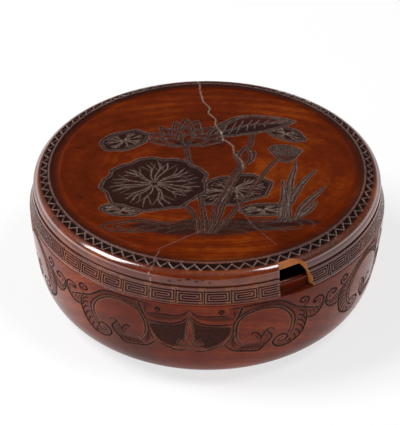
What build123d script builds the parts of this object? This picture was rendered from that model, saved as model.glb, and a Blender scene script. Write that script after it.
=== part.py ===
# Round turned wooden box: a deep bellied base, and a fitted lid that lifts off its upstanding rim
import os
from math import asin, atan2, cos, degrees, hypot, pi, radians, sin, sqrt, tan

from build123d import *

# Driving dimensions, mm, +Z up, origin on the table under the middle of the foot
# The notch in the lid's skirt faces -Y

# Base, outside
box_radius = 140.0  # widest circle of the box
base_height = 82.0  # from the table to the ledge that the lid rests on
belly_drop = 6.0  # how far the widest circle lies below the ledge
waist_drop = 52.0  # how far below the ledge the side turns under
waist_draw_in = 3.5  # how much narrower the box is there
underside_draw_in = 28.0  # how much narrower it is where it meets the foot's step
turn_sag = 3.0  # how low the turned-under curve bows towards the underside
foot_step = 5.0
foot_height = 2.0
foot_land = 9.0  # width of the ring that touches the table
recess_depth = 2.6
recess_run = 14.0  # soft slope from the foot's land up to the recess
floor_thickness = 6.4
cavity_corner = 28.0

# Upstanding rim that the lid drops over
rim_thickness = 4.1
rim_height = 8.0
rim_crown = 1.6  # how much of that height is its rounded top
fit_clearance = 0.4

# Lid, from the seam upwards and inwards
lid_setback = 0.4  # the lid is a little smaller than the belly
skirt_thickness = 5.6
seam_bead_height = 1.6
seam_bead_width = 0.6
fret_height = 11.9
fret_lean = 2.7
quirk_width = 1.0  # narrow ledge between the fret band and the bullnose
quirk_height = 0.4
bullnose_width = 4.3
bullnose_height = 10.3
bullnose_swell = 2.0  # how far its curve is drawn outwards
bullnose_crown = 2.7  # how far below its top the curve turns over
ring_width = 7.4
ring_rise = 2.1
bead_width = 1.4
bead_crown = 0.5
cove_width = 8.0
cove_depth = 1.2
lid_thickness = 7.8
lid_corner = 8.0

# Notch through the skirt, seen from the front: a square left end and an arched right end
notch_left = 12.8
notch_right = 11.0
notch_setback = 1.0  # its flat back lies this far inside the bullnose
notch_arch_start = -2.0  # where the arch leaves the top edge
notch_arch_radius = 7.5
notch_flare_left = 1.4  # how far each end widens towards the outside
notch_flare_right = 3.4
notch_overrun = 1.0  # how far below the seam its right end is drawn from

# Relief on the panel: sunk leaves between their veins, a blossom, a bud and a pod on stems, and reeds
relief_turn = -27.6  # degrees from the notch to the side that the relief faces
relief_depth = 0.8
vein_width = 1.6
leaf_radius = 38.0
leaf_vein_count = 11
small_leaf_radius = 17.0
small_leaf_vein_count = 7
petal_length = 24.0
petal_width = 11.0
petal_count = 5
stem_width = 2.4
stem_root_drop = 88.0  # how far in front of the middle the stems start
reed_length = 46.0
reed_width = 4.0
reed_count = 4

# Carved belt on the belly: swags, a scroll on each side of them, and a stalk between each two scrolls
belt_turn = -32.9  # degrees from the notch to the middle of the front swag
swag_pitch = 86.4  # degrees to the next swag on either side; the fourth lies opposite
swag_half_width = 28.0
swag_head_drop = 11.0  # drops are measured from the ledge
swag_side_drop = 20.0
swag_foot_drop = 41.0
spear_width = 5.0  # uncut wood down the middle of a swag
scroll_turn = 22.3  # degrees from a swag's middle to a scroll's
scroll_radius = 23.0
scroll_band = 2.6
scroll_drop = 28.5
scroll_opening = 72.0  # degrees left open at a scroll's foot
stalk_width = 13.0
stalk_head_drop = 17.0
stalk_foot_drop = 29.0

# Straight flats that stand for each round stretch
belly_flat_count = 3
turn_flat_count = 5
cavity_flat_count = 6
corner_flat_count = 2
bullnose_flat_count = 4
crown_flat_count = 2
bead_flat_count = 2
scroll_flat_count = 5
swag_flat_count = 2

# Radii and heights that follow, from the outside inwards
seam_radius = box_radius - lid_setback
skirt_inner_radius = seam_radius - skirt_thickness
rim_outer_radius = skirt_inner_radius - fit_clearance
cavity_radius = rim_outer_radius - rim_thickness
fret_base_radius = seam_radius - seam_bead_width
fret_top_radius = fret_base_radius - fret_lean
fret_top_height = seam_bead_height + fret_height
ring_outer_radius = fret_top_radius - quirk_width - bullnose_width
ring_outer_height = fret_top_height + quirk_height + bullnose_height
ring_inner_radius = ring_outer_radius - ring_width
panel_height = ring_outer_height + ring_rise
lid_underside = panel_height - lid_thickness
waist_radius = box_radius - waist_draw_in
waist_height = base_height - waist_drop
underside_radius = box_radius - underside_draw_in
foot_radius = underside_radius - foot_step
cavity_floor = recess_depth + floor_thickness

# The belly is a shallow arc, upright at its widest circle
belly_fall = waist_drop - belly_drop
belly_curve = (belly_fall**2 + waist_draw_in**2) / (2 * waist_draw_in)
waist_lean = asin(belly_fall / belly_curve)
belly_height = base_height - belly_drop

# Turns of the belt's motifs from the front swag; the back two quarters share what the front two leave
back_share = (180 - swag_pitch) / swag_pitch
swag_turns = (0, -swag_pitch, swag_pitch, 180)
scroll_front_turns = (scroll_turn, swag_pitch - scroll_turn)
scroll_back_turns = (swag_pitch + scroll_turn * back_share, 180 - scroll_turn * back_share)
stalk_turns = (swag_pitch / 2, (swag_pitch + 180) / 2)


def in_flats(curve, flat_count):
    # Stands for a round stretch by a few straight flats along it, so that the turned faces stay light
    return Polyline(*[curve @ (flat / flat_count) for flat in range(flat_count + 1)])


def quarter_round(start, corner, end, flat_count):
    # Circular arc between two tangent lines that meet at right angles in the corner
    arc = Bezier(start, corner, end, weights=(1, sqrt(0.5), 1), mode=Mode.PRIVATE)
    return in_flats(arc, flat_count)


def belly_radius_at(height, sunk=0.0):
    # Radius of the belly's arc at a height, or of one that lies sunk under it
    return box_radius - belly_curve + sqrt((belly_curve - sunk) ** 2 - (height - belly_height) ** 2)


def belly_corners(sunk=0.0):
    # Corners of the flats that stand for the belly's arc, from the waist up, with one at the widest circle
    rise = (belly_height - waist_height) / belly_flat_count
    heights = [waist_height + rise * flat for flat in range(belly_flat_count + 1)] + [base_height]
    return [(belly_radius_at(height, sunk), height) for height in heights]


def belt_plane(turn):
    # Upright plane that touches the belly: x along the belt, y up from the ledge
    a = radians(belt_turn + turn)
    touch = (box_radius * sin(a), -box_radius * cos(a), base_height)
    return Plane(touch, x_dir=(cos(a), sin(a), 0), z_dir=(sin(a), -cos(a), 0))


def crest(start, end, height, flat_count):
    # Rounded crest, or hollow where the height is negative, its middle that far off the level of its ends
    crown = ((start[0] + end[0]) / 2, (start[1] + end[1]) / 2 + height)
    return in_flats(ThreePointArc(start, crown, end, mode=Mode.PRIVATE), flat_count)


# Belt: its motifs, drawn on planes that touch the belly, cut a thin skin of it away
with BuildPart() as belt:
    for turn in swag_turns:
        with BuildSketch(belt_plane(turn)):
            with BuildLine():
                head = (spear_width / 4, -swag_head_drop)
                shoulder = (swag_half_width, -swag_side_drop)
                foot = (spear_width, -swag_foot_drop)
                sag = (swag_half_width / 3, -swag_side_drop + spear_width / 2)
                bulge = (swag_half_width * 0.8, -(swag_side_drop + swag_foot_drop) / 2)
                in_flats(ThreePointArc(head, sag, shoulder, mode=Mode.PRIVATE), swag_flat_count)
                in_flats(ThreePointArc(shoulder, bulge, foot, mode=Mode.PRIVATE), swag_flat_count)
                Line(foot, head)
            make_face()
            mirror(about=Plane.YZ)
    for turn in scroll_front_turns + scroll_back_turns:
        for side in (-1, 1):
            with BuildSketch(belt_plane(side * turn)):
                with Locations((0, -scroll_drop)):
                    with BuildLine():
                        first, span = scroll_opening / 2 - 90, 360 - scroll_opening
                        scroll_edges = []
                        for radius in (scroll_radius + scroll_band / 2, scroll_radius - scroll_band / 2):
                            arc = CenterArc((0, 0), radius, first, span, mode=Mode.PRIVATE)
                            scroll_edges.append(in_flats(arc, scroll_flat_count))
                        Line(scroll_edges[0] @ 0, scroll_edges[1] @ 0)
                        Line(scroll_edges[0] @ 1, scroll_edges[1] @ 1)
                    make_face()
    for turn in stalk_turns:
        for side in (-1, 1):
            with BuildSketch(belt_plane(side * turn)):
                with BuildLine():
                    stalk_side = (stalk_width / 2, -(stalk_head_drop + stalk_foot_drop) / 2)
                    Polyline((0, -stalk_head_drop), stalk_side, (0, -stalk_foot_drop), close=True)
                make_face()
                mirror(about=Plane.YZ)
    extrude(amount=-(box_radius - cavity_radius))
    with BuildSketch(Plane.XZ):
        with BuildLine():
            outside = box_radius + relief_depth
            skin = belly_corners(relief_depth)
            Polyline(*skin, (outside, base_height), (outside, waist_height), close=True)
        make_face()
    revolve(axis=Axis.Z, mode=Mode.INTERSECT)

# Base: bellied bowl with a ledge, an upstanding rim and a low foot ring
with BuildPart() as base:
    with BuildSketch(Plane.XZ):
        with BuildLine():
            recess_edge = (foot_radius - foot_land, 0)
            recess_flat = (foot_radius - foot_land - recess_run, recess_depth)
            underside = (underside_radius, foot_height)
            waist = (waist_radius, waist_height)
            turn_start_height = foot_height + turn_sag
            turn_inset = (waist_height - turn_start_height) * tan(waist_lean)
            turn_corner = (waist_radius - turn_inset, turn_start_height)
            rim_shoulder_height = base_height + rim_height - rim_crown
            rim_outer_shoulder = (rim_outer_radius, rim_shoulder_height)
            rim_inner_shoulder = (cavity_radius, rim_shoulder_height)
            wall_foot = (cavity_radius, cavity_floor + cavity_corner)
            floor_edge = (cavity_radius - cavity_corner, cavity_floor)
            Polyline((0, recess_depth), recess_flat, recess_edge, (foot_radius, 0))
            Polyline((foot_radius, 0), (foot_radius, foot_height), underside)
            in_flats(Bezier(underside, turn_corner, waist, mode=Mode.PRIVATE), turn_flat_count)
            Polyline(*belly_corners())
            Polyline(belly_corners()[-1], (rim_outer_radius, base_height), rim_outer_shoulder)
            crest(rim_outer_shoulder, rim_inner_shoulder, rim_crown, crown_flat_count)
            Line(rim_inner_shoulder, wall_foot)
            quarter_round(wall_foot, (cavity_radius, cavity_floor), floor_edge, cavity_flat_count)
            Polyline(floor_edge, (0, cavity_floor), (0, recess_depth))
        make_face()
    revolve(axis=Axis.Z)
    add(belt.part, mode=Mode.SUBTRACT)
base.part.label = "base"

# Lid: flat panel, cove and bead, sloping carved ring, bullnose, and a skirt with a plain band for the fret
lid_plane = Plane((0, 0, base_height), x_dir=(1, 0, 0), z_dir=(0, -1, 0))
with BuildPart() as lid:
    with BuildSketch(lid_plane):
        with BuildLine():
            seam_edge = (seam_radius - seam_bead_width / 2, 0)
            seam_bead_bend = (seam_radius + seam_bead_width / 2, seam_bead_height / 2)
            fret_foot = (fret_base_radius, seam_bead_height)
            fret_head = (fret_top_radius, fret_top_height)
            bullnose_foot = (fret_top_radius - quirk_width, fret_top_height + quirk_height)
            bullnose_bend = (bullnose_foot[0] + bullnose_swell, ring_outer_height - bullnose_crown)
            bullnose_head = (ring_outer_radius, ring_outer_height)
            ring_head = (ring_inner_radius, panel_height)
            bead_edge = (ring_inner_radius - bead_width, panel_height)
            cove_edge = (ring_inner_radius - bead_width - cove_width, panel_height)
            corner_head = (skirt_inner_radius - lid_corner, lid_underside)
            corner_foot = (skirt_inner_radius, lid_underside - lid_corner)
            Line((skirt_inner_radius, 0), seam_edge)
            in_flats(Bezier(seam_edge, seam_bead_bend, fret_foot, mode=Mode.PRIVATE), bead_flat_count)
            Polyline(fret_foot, fret_head, bullnose_foot)
            bullnose = Bezier(bullnose_foot, bullnose_bend, bullnose_head, mode=Mode.PRIVATE)
            in_flats(bullnose, bullnose_flat_count)
            Line(bullnose_head, ring_head)
            crest(ring_head, bead_edge, bead_crown, bead_flat_count)
            crest(bead_edge, cove_edge, -cove_depth, crown_flat_count)
            Polyline(cove_edge, (0, panel_height), (0, lid_underside), corner_head)
            quarter_round(corner_head, (skirt_inner_radius, lid_underside), corner_foot, corner_flat_count)
            Line(corner_foot, (skirt_inner_radius, 0))
        make_face()
    revolve(axis=Axis.Z)

    # Relief, drawn flat on the panel: each leaf is sunk between its veins, and its rim is wavy
    facing = radians(relief_turn)
    panel_middle = (0, 0, base_height + panel_height)
    relief_plane = Plane(panel_middle, x_dir=(cos(facing), sin(facing), 0), z_dir=(0, 0, 1))
    with BuildSketch(relief_plane):
        for centre, radius, vein_count in (
            ((-40, -26), leaf_radius, leaf_vein_count),
            ((64, 46), small_leaf_radius, small_leaf_vein_count),
            ((-66, 36), small_leaf_radius, small_leaf_vein_count),
        ):
            half_turn = pi / vein_count
            heart = vein_width / sin(half_turn)
            far = (radius - vein_width) * cos(half_turn)
            side = (radius - vein_width) * sin(half_turn) - vein_width / 2
            with Locations(centre):
                with PolarLocations(0, vein_count):
                    Polygon((heart, 0), (far, -side), (radius, 0), (far, side), align=None)
        blossom, bud, pod, bent_stalk, reeds = (-17, 30), (30, 0), (62, 14), (-38, -32), (60, -74)
        side = petal_width / 2
        with Locations(blossom):
            with PolarLocations(petal_length / 3, petal_count, start_angle=30, angular_range=120):
                belly = petal_length / 2
                Polygon((0, 0), (belly, -side), (petal_length, 0), (belly, side), align=None)
        with Locations(Location(bud, 90), Location(pod, 80)):
            belly = petal_length * 0.7
            Polygon((0, 0), (belly, -side), (petal_length, 0), (belly, side), align=None)
        for tip in (blossom, bud, pod, bent_stalk):
            rise = tip[1] + stem_root_drop
            far = hypot(tip[0], rise) - stem_width
            with Locations(Location((0, -stem_root_drop), degrees(atan2(rise, tip[0])))):
                Rectangle(far, stem_width, align=(Align.MIN, Align.CENTER))
        with Locations(reeds):
            with PolarLocations(reed_width, reed_count, start_angle=55, angular_range=45):
                Polygon((0, -reed_width / 2), (reed_length, 0), (0, reed_width / 2), align=None)
    extrude(amount=-relief_depth, mode=Mode.SUBTRACT)

    # The notch: a ruled loft between its outline at the back and a wider one outside
    notch_back = ring_outer_radius - notch_setback
    notch_top = ring_outer_height + ring_rise * notch_setback / ring_width
    for distance, widening in ((notch_back, 0), (box_radius, 1)):
        with BuildSketch(lid_plane.offset(distance)):
            with BuildLine():
                left = -notch_left - widening * notch_flare_left
                right = notch_right + widening * notch_flare_right
                arch_top = notch_arch_start + 2 * widening * notch_flare_right
                arch_head = (arch_top, notch_top)
                arch_foot = (arch_top + notch_arch_radius, notch_top - notch_arch_radius)
                left_foot = (left, -notch_overrun)
                left_head = (left, panel_height)
                right_foot = (right, -notch_overrun)
                Polyline(arch_head, (arch_top, panel_height), left_head, left_foot, right_foot, arch_foot)
                RadiusArc(arch_foot, arch_head, -notch_arch_radius)
            make_face()
    loft(ruled=True, mode=Mode.SUBTRACT)
lid.part.label = "lid"

os.makedirs("parts", exist_ok=True)
export_step(base.part, "parts/base.step")
export_step(lid.part, "parts/lid.step")
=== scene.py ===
import math

import bpy
import numpy as np
from mathutils import Matrix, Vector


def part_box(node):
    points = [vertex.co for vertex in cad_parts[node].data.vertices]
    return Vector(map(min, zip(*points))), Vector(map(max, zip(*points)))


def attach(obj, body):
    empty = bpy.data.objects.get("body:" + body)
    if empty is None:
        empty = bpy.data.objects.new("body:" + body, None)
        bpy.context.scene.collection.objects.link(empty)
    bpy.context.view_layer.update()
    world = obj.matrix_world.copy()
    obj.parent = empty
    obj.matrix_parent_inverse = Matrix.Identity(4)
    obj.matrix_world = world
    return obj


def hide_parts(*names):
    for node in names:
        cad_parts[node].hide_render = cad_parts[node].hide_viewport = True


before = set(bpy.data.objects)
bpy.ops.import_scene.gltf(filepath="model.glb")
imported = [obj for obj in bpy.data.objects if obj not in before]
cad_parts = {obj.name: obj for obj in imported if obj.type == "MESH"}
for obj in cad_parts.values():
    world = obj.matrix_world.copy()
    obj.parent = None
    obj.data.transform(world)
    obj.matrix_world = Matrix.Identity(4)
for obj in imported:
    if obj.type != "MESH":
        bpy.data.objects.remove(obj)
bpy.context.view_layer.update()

mm = 0.001
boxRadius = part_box("base")[1].x / mm      # widest circle of the belly
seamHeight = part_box("lid")[0].z / mm      # lid heights, and the belt's, count from this seam
print("frame loaded: widest radius", round(boxRadius, 2), "mm, seam at", round(seamHeight, 2), "mm")


photoView = {
    "turn": -27.6,          # degrees round the box from the notch, towards the left
    "elevation": 36.4,
    "distance": 1000.0,
    "aimRight": -5.52,      # aim point, from the middle of the seam
    "aimUp": -16.61,
    "focal": 1260.6,        # in pixels of the photograph's frame
    "frameSize": (400, 425),
    "sensor": 36.0,
}


def viewAxes(turn, elevation):
    # Right, up and forward of a camera that looks at the box from that side and height
    t, e = math.radians(turn), math.radians(elevation)
    right = np.array([math.cos(t), math.sin(t), 0.0])
    away = np.array([-math.sin(t), math.cos(t), 0.0])
    level = np.array([0.0, 0.0, 1.0])
    return right, away * math.sin(e) + level * math.cos(e), away * math.cos(e) - level * math.sin(e)


def makeCamera(view):
    right, up, forward = viewAxes(view["turn"], view["elevation"])
    aim = np.array([0, 0, seamHeight]) + view["aimRight"] * right + view["aimUp"] * up
    data = bpy.data.cameras.new("photoCamera")
    data.sensor_width = view["sensor"]
    data.lens = view["focal"] * view["sensor"] / max(view["frameSize"])
    data.clip_start, data.clip_end = 0.05, 50
    camera = bpy.data.objects.new("photoCamera", data)
    bpy.context.scene.collection.objects.link(camera)
    place = np.eye(4)
    place[:3, 0], place[:3, 1], place[:3, 2] = right, up, -forward
    place[:3, 3] = (aim - view["distance"] * forward) * mm
    camera.matrix_world = Matrix(place.tolist())
    bpy.context.scene.camera = camera


makeCamera(photoView)
print("camera placed")


# Outlines and curves

def stretch(start, end, count):
    # Straight run of points from start to end
    t = np.linspace(0, 1, count)[:, None]
    return (1 - t) * np.array(start, float) + t * np.array(end, float)


def bend(start, corner, end, count):
    # Curve that leaves start towards the corner and arrives at end from it: (1-t)^2 a + 2t(1-t) b + t^2 c
    t = np.linspace(0, 1, count)[:, None]
    a, b, c = (np.array(p, float) for p in (start, corner, end))
    return (1 - t) ** 2 * a + 2 * t * (1 - t) * b + t**2 * c


def crown(start, end, height, count):
    # Shallow arch between two points, highest in the middle by a parabola; a hollow where height is negative
    t = np.linspace(0, 1, count)[:, None]
    return stretch(start, end, count) + 4 * height * t * (1 - t) * np.array([0.0, 1.0])


def joinRuns(*runs):
    # One outline from several runs, without the points where they meet being doubled
    points = np.vstack(runs)
    keep = np.r_[True, np.hypot(*np.diff(points, axis=0).T) > 1e-6]
    return points[keep]


def smoothPath(points, steps=8):
    # Curve through all the points: on each run a cubic whose end slopes are half the chord of the neighbours
    p = np.array(points, float)
    p = np.vstack([2 * p[0] - p[1], p, 2 * p[-1] - p[-2]])
    t = np.linspace(0, 1, steps, endpoint=False)[None, :, None]
    a, b, c, d = (q[:, None, :] for q in (p[:-3], p[1:-2], p[2:-1], p[3:]))
    run = b + 0.5 * t * (c - a + t * (2 * a - 5 * b + 4 * c - d + t * (3 * b - 3 * c + d - a)))
    return np.vstack([run.reshape(-1, 2), p[-2]])


def sideways(outline):
    # Unit direction square to an outline at each point, to the right of its course
    along = np.gradient(outline, axis=0)
    along /= np.hypot(along[:, 0], along[:, 1])[:, None]
    return np.stack([along[:, 1], -along[:, 0]], -1)


# Carving: a board holds flat places x, y and, for each, height, stain and wear
# Height is in mm above the uncut wood, stain and wear run from 0 to 1

carving = {
    "taper": 5,              # a line thins over one part in this many of its length, at both ends
    "reach": 1.6,            # furthest that a groove marks the wood, in widths
    "edge": 1.15,            # where a cut ends, in half widths; its bottom is flat over the first 0.15
    "stained": 1.9,          # the same for the stain, which reaches beyond the cut
    "burrAt": 1.45,          # in half widths from the middle
    "burrWidth": 0.35,
    "markHeight": 0.7,       # mm between tool marks, and how much paler they are
    "markPale": 0.5,
    "slopeStain": 0.35,
}


def newBoard(x, y):
    x, y = np.broadcast_arrays(x, y)
    blank = np.zeros(x.shape)
    return {"x": x.ravel(), "y": y.ravel(), "height": blank.ravel().copy(), "stain": blank.ravel().copy(),
            "wear": blank.ravel().copy(), "shape": x.shape}


def nearPath(board, path, reach):
    # Places within reach of a path: their indices, distance, and share of the path passed
    low, high = path.min(0) - reach, path.max(0) + reach
    x, y = board["x"], board["y"]
    near = np.flatnonzero((x > low[0]) & (x < high[0]) & (y > low[1]) & (y < high[1]))
    px, py = x[near], y[near]
    best = np.full(len(near), 1e9)
    share = np.zeros(len(near))
    runs = np.diff(path, axis=0)
    lengths = np.hypot(runs[:, 0], runs[:, 1])
    passed = np.r_[0, np.cumsum(lengths)]
    for (ax, ay), (dx, dy), length, before in zip(path[:-1], runs, lengths, passed):
        if length < 1e-9:
            continue
        qx, qy = px - ax, py - ay
        t = np.clip((qx * dx + qy * dy) / length**2, 0, 1)
        gap = np.hypot(qx - t * dx, qy - t * dy)
        closer = gap < best
        best = np.where(closer, gap, best)
        share = np.where(closer, (before + t * length) / passed[-1], share)
    inReach = best < reach
    return near[inReach], best[inReach], share[inReach]


def insideOf(board, outline):
    # Even-odd test: inside where a level ray to the right crosses the closed outline an odd number of times
    low, high = outline.min(0), outline.max(0)
    x, y = board["x"], board["y"]
    near = np.flatnonzero((x >= low[0]) & (x <= high[0]) & (y >= low[1]) & (y <= high[1]))
    px, py = x[near], y[near]
    odd = np.zeros(len(near), bool)
    for (ax, ay), (bx, by) in zip(outline, np.roll(outline, -1, axis=0)):
        if ay == by:
            continue
        crosses = (ay > py) != (by > py)
        odd ^= crosses & (px < ax + (py - ay) * (bx - ax) / (by - ay))
    return near[odd]


def taper(share, tips):
    # 1 along most of a line, less towards its two tips
    t = carving["taper"]
    ends = tips[0] + (1 - tips[0]) * np.minimum(share * t, 1)
    return np.minimum(ends, tips[1] + (1 - tips[1]) * np.minimum((1 - share) * t, 1))


def atLeast(board, key, at, value):
    board[key][at] = np.maximum(board[key][at], value)


def cutLine(board, path, width, depth, stain=1.0, tips=(0.35, 0.35), burr=0.0):
    # V-shaped groove, thinner towards the tips, with an optional worn burr just outside its edges
    c = carving
    at, gap, share = nearPath(board, path, width * c["reach"])
    ends = taper(share, tips)
    half = 0.5 * width * ends
    board["height"][at] -= depth * ends * np.clip(c["edge"] - gap / half, 0, 1)
    atLeast(board, "stain", at, stain * np.clip(c["stained"] - c["edge"] * gap / half, 0, 1))
    if burr:
        rim = np.exp(-(((gap - c["burrAt"] * half) / (c["burrWidth"] * width)) ** 2))
        atLeast(board, "wear", at, burr * rim)


def cutRound(board, outline, width, depth, stain=1.0, burr=0.0):
    # The same groove all round a closed outline
    cutLine(board, np.vstack([outline, outline[:1]]), width, depth, stain, (1, 1), burr)


def raiseLine(board, path, width, height, wear=1.0, tips=(0.5, 0.5)):
    # Rounded ridge whose worn crest shows pale
    at, gap, share = nearPath(board, path, width)
    hump = np.exp(-((gap / (0.5 * width * taper(share, tips))) ** 2))
    board["height"][at] += height * hump
    atLeast(board, "wear", at, wear * hump)


def sinkArea(board, outline, depth, stain, slope=0.8, tooled=0.0):
    # Ground lowered inside a closed outline, with sides that fall over a short slope, and rough from the tool
    c = carving
    at = insideOf(board, outline)
    closed = np.vstack([outline, outline[:1]])
    fall = np.ones(len(board["x"]))
    near, gap = nearPath(board, closed, slope)[:2]
    fall[near] = gap / slope
    u, v = board["x"][at], board["y"][at]
    across = np.sin(1.9 * u + 2.2 * np.sin(0.8 * v))
    marks = tooled * np.abs(across * np.sin(1.5 * v + 1.8 * np.sin(0.9 * u + 1)))
    board["height"][at] -= fall[at] * (depth - c["markHeight"] * marks)
    atLeast(board, "stain", at, (stain - c["markPale"] * marks) * np.minimum(c["slopeStain"] + fall[at], 1))


def setArea(board, at, height, stain, wear):
    board["height"][at], board["stain"][at], board["wear"][at] = height, stain, wear


def clearArea(board, outline):
    # Back to uncut wood inside a closed outline, for what is carved in front of other things
    at = insideOf(board, outline)
    setArea(board, at, 0.0, 0.0, 0.0)


# Meshes from grids of points

sharpAngle = math.radians(38)      # edges that bend more than this are drawn sharp


def gridQuads(rows, cols, wrapRows=True, wrapCols=True):
    # Quads between neighbouring rows and columns, and the row that each belongs to
    i = np.arange(rows if wrapRows else rows - 1)[:, None]
    j = np.arange(cols if wrapCols else cols - 1)[None, :]
    nextI, nextJ = (i + 1) % rows, (j + 1) % cols
    corners = (i * cols + j, i * cols + nextJ, nextI * cols + nextJ, nextI * cols + j)
    quads = np.stack(np.broadcast_arrays(*corners), -1).reshape(-1, 4)
    return quads, np.repeat(i.ravel(), j.size)


def enclosedVolume(points, faceSets):
    # Sum of the tetrahedra between origin and each face, cut into a fan; positive where faces point out
    total = 0.0
    for faces, material in faceSets:
        a = points[faces[:, 0]]
        for k in range(1, faces.shape[1] - 1):
            total += np.einsum("ij,ij->", a, np.cross(points[faces[:, k]], points[faces[:, k + 1]])) / 6
    return total


def makePiece(name, points, faceSets, materials, body, values=None):
    # points in mm from the seam's level, faceSets as (corner numbers, material numbers) for each face size
    points = points + np.array([0, 0, seamHeight])
    if enclosedVolume(points, faceSets) < 0:
        faceSets = [(faces[:, ::-1], material) for faces, material in faceSets]
    volume = enclosedVolume(points, faceSets) / 1000
    corners = np.concatenate([faces.ravel() for faces, material in faceSets])
    sizes = np.concatenate([np.full(len(faces), faces.shape[1]) for faces, material in faceSets])
    material = np.concatenate([np.broadcast_to(m, len(faces)) for faces, m in faceSets])
    mesh = bpy.data.meshes.new(name)
    mesh.vertices.add(len(points))
    mesh.vertices.foreach_set("co", (points * mm).astype(np.float32).ravel())
    mesh.loops.add(len(corners))
    mesh.loops.foreach_set("vertex_index", corners.astype(np.int32))
    mesh.polygons.add(len(sizes))
    mesh.polygons.foreach_set("loop_start", np.r_[0, np.cumsum(sizes)[:-1]].astype(np.int32))
    mesh.polygons.foreach_set("material_index", material.astype(np.int32))
    for key, value in (values or {}).items():
        mesh.attributes.new(key, "FLOAT", "POINT").data.foreach_set("value", value.astype(np.float32).ravel())
    mesh.update(calc_edges=True)
    mesh.validate()
    mesh.polygons.foreach_set("use_smooth", np.ones(len(mesh.polygons), bool))
    mesh.set_sharp_from_angle(angle=sharpAngle)
    for finish in materials:
        mesh.materials.append(finish)
    piece = bpy.data.objects.new(name, mesh)
    bpy.context.scene.collection.objects.link(piece)
    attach(piece, body)
    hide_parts(body)
    triangles = int(np.sum(sizes - 2))
    print(name, "made:", triangles, "triangles,", round(volume, 1), "cm3")
    return piece


def sweep(profile, angles, depth=0.0):
    # Rows follow the profile (radius, height), columns the angles from the notch; depth is cut square to it
    out = sideways(profile)
    radius = profile[:, :1] - depth * out[:, :1]
    height = profile[:, 1:] - depth * out[:, 1:]
    angles = np.atleast_2d(angles)
    radius, height, angles = np.broadcast_arrays(radius, height, angles)
    return np.stack([radius * np.sin(angles), -radius * np.cos(angles), height], -1)


def fullTurn(columns):
    return np.linspace(0, 2 * math.pi, columns, endpoint=False)


def drift(angles, waves):
    # How unsteady a hand is on its way round: the sum of amount * sin(count * angle + phase)
    total = 0.0
    for amount, count, phase in waves:
        total = total + amount * np.sin(count * angles + phase)
    return total


def capRing(rows, cols):
    # The two flat ends of a part ring, each one many-sided face round the profile
    row = np.arange(rows)
    return np.stack([row[::-1] * cols, row * cols + cols - 1])


# The base

baseShape = {
    "thinPolish": 0.9,       # share of the polish lost at the foot
    "bellyRadius": boxRadius - 0.05,
    "bellyHeight": -6.0,
    "waistRadius": boxRadius - 3.5,
    "waistHeight": -52.0,
    "arris": 0.6,
    "cavityRadius": boxRadius - 10.5,
    "cavityCorner": 28.0,
    "floor": -73.0,
    "rimOuterRadius": boxRadius - 6.4,
    "rimShoulder": 6.4,
    "rimCrown": 1.6,
    "undersideRadius": boxRadius - 28,
    "footRadius": boxRadius - 33,
    "footHeight": -80.0,
    "landWidth": 9.0,
    "recessRun": 14.0,
    "recessHeight": -79.4,
    "beltStep": 0.5,
    "beltMiddle": -32.9,     # degrees from the notch to the middle of the front belt
    "beltColumns": 881,
    "beltCutLimit": 1.9,     # deepest cut, and the most that the belt's wall can spare
    "innerStep": -48.5,
    "rimFootRound": 0.3,
    "rimStain": 0.3,
    "footStep": 2.0,
    "footRound": 0.4,
    "turnSag": 3.0,          # how low the turned-under curve bows towards the underside
    "turnSteps": 33,
    "centreRadius": 4.0,
    "columns": 720,
}

bellyFall = baseShape["bellyHeight"] - baseShape["waistHeight"]
bellyGain = baseShape["bellyRadius"] - baseShape["waistRadius"]
bellyCurve = (bellyFall**2 + bellyGain**2) / (2 * bellyGain)


def bellyRadiusAt(z):
    # Shallow arc, upright at the belly: radius = belly - R + sqrt(R^2 - (z - belly height)^2)
    rise = z - baseShape["bellyHeight"]
    return baseShape["bellyRadius"] - bellyCurve + np.sqrt(bellyCurve**2 - rise**2)


def cavityRadiusAt(z):
    # Upright wall that turns into the floor by a quarter circle
    b = baseShape
    drop = np.clip(b["floor"] + b["cavityCorner"] - z, 0, b["cavityCorner"])
    return b["cavityRadius"] - b["cavityCorner"] + np.sqrt(b["cavityCorner"] ** 2 - drop**2)


carvedBelt = {
    "swagTurn": -32.9,       # middle of the front swag, in degrees from the notch
    "frontPitch": 86.4,      # degrees to the next swag on either side; the back has the rest
    "perDegree": 2.443,      # mm of belt in a degree
    "sway": 0.22,            # how unsteady the cutter's hand was, in mm
}


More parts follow.
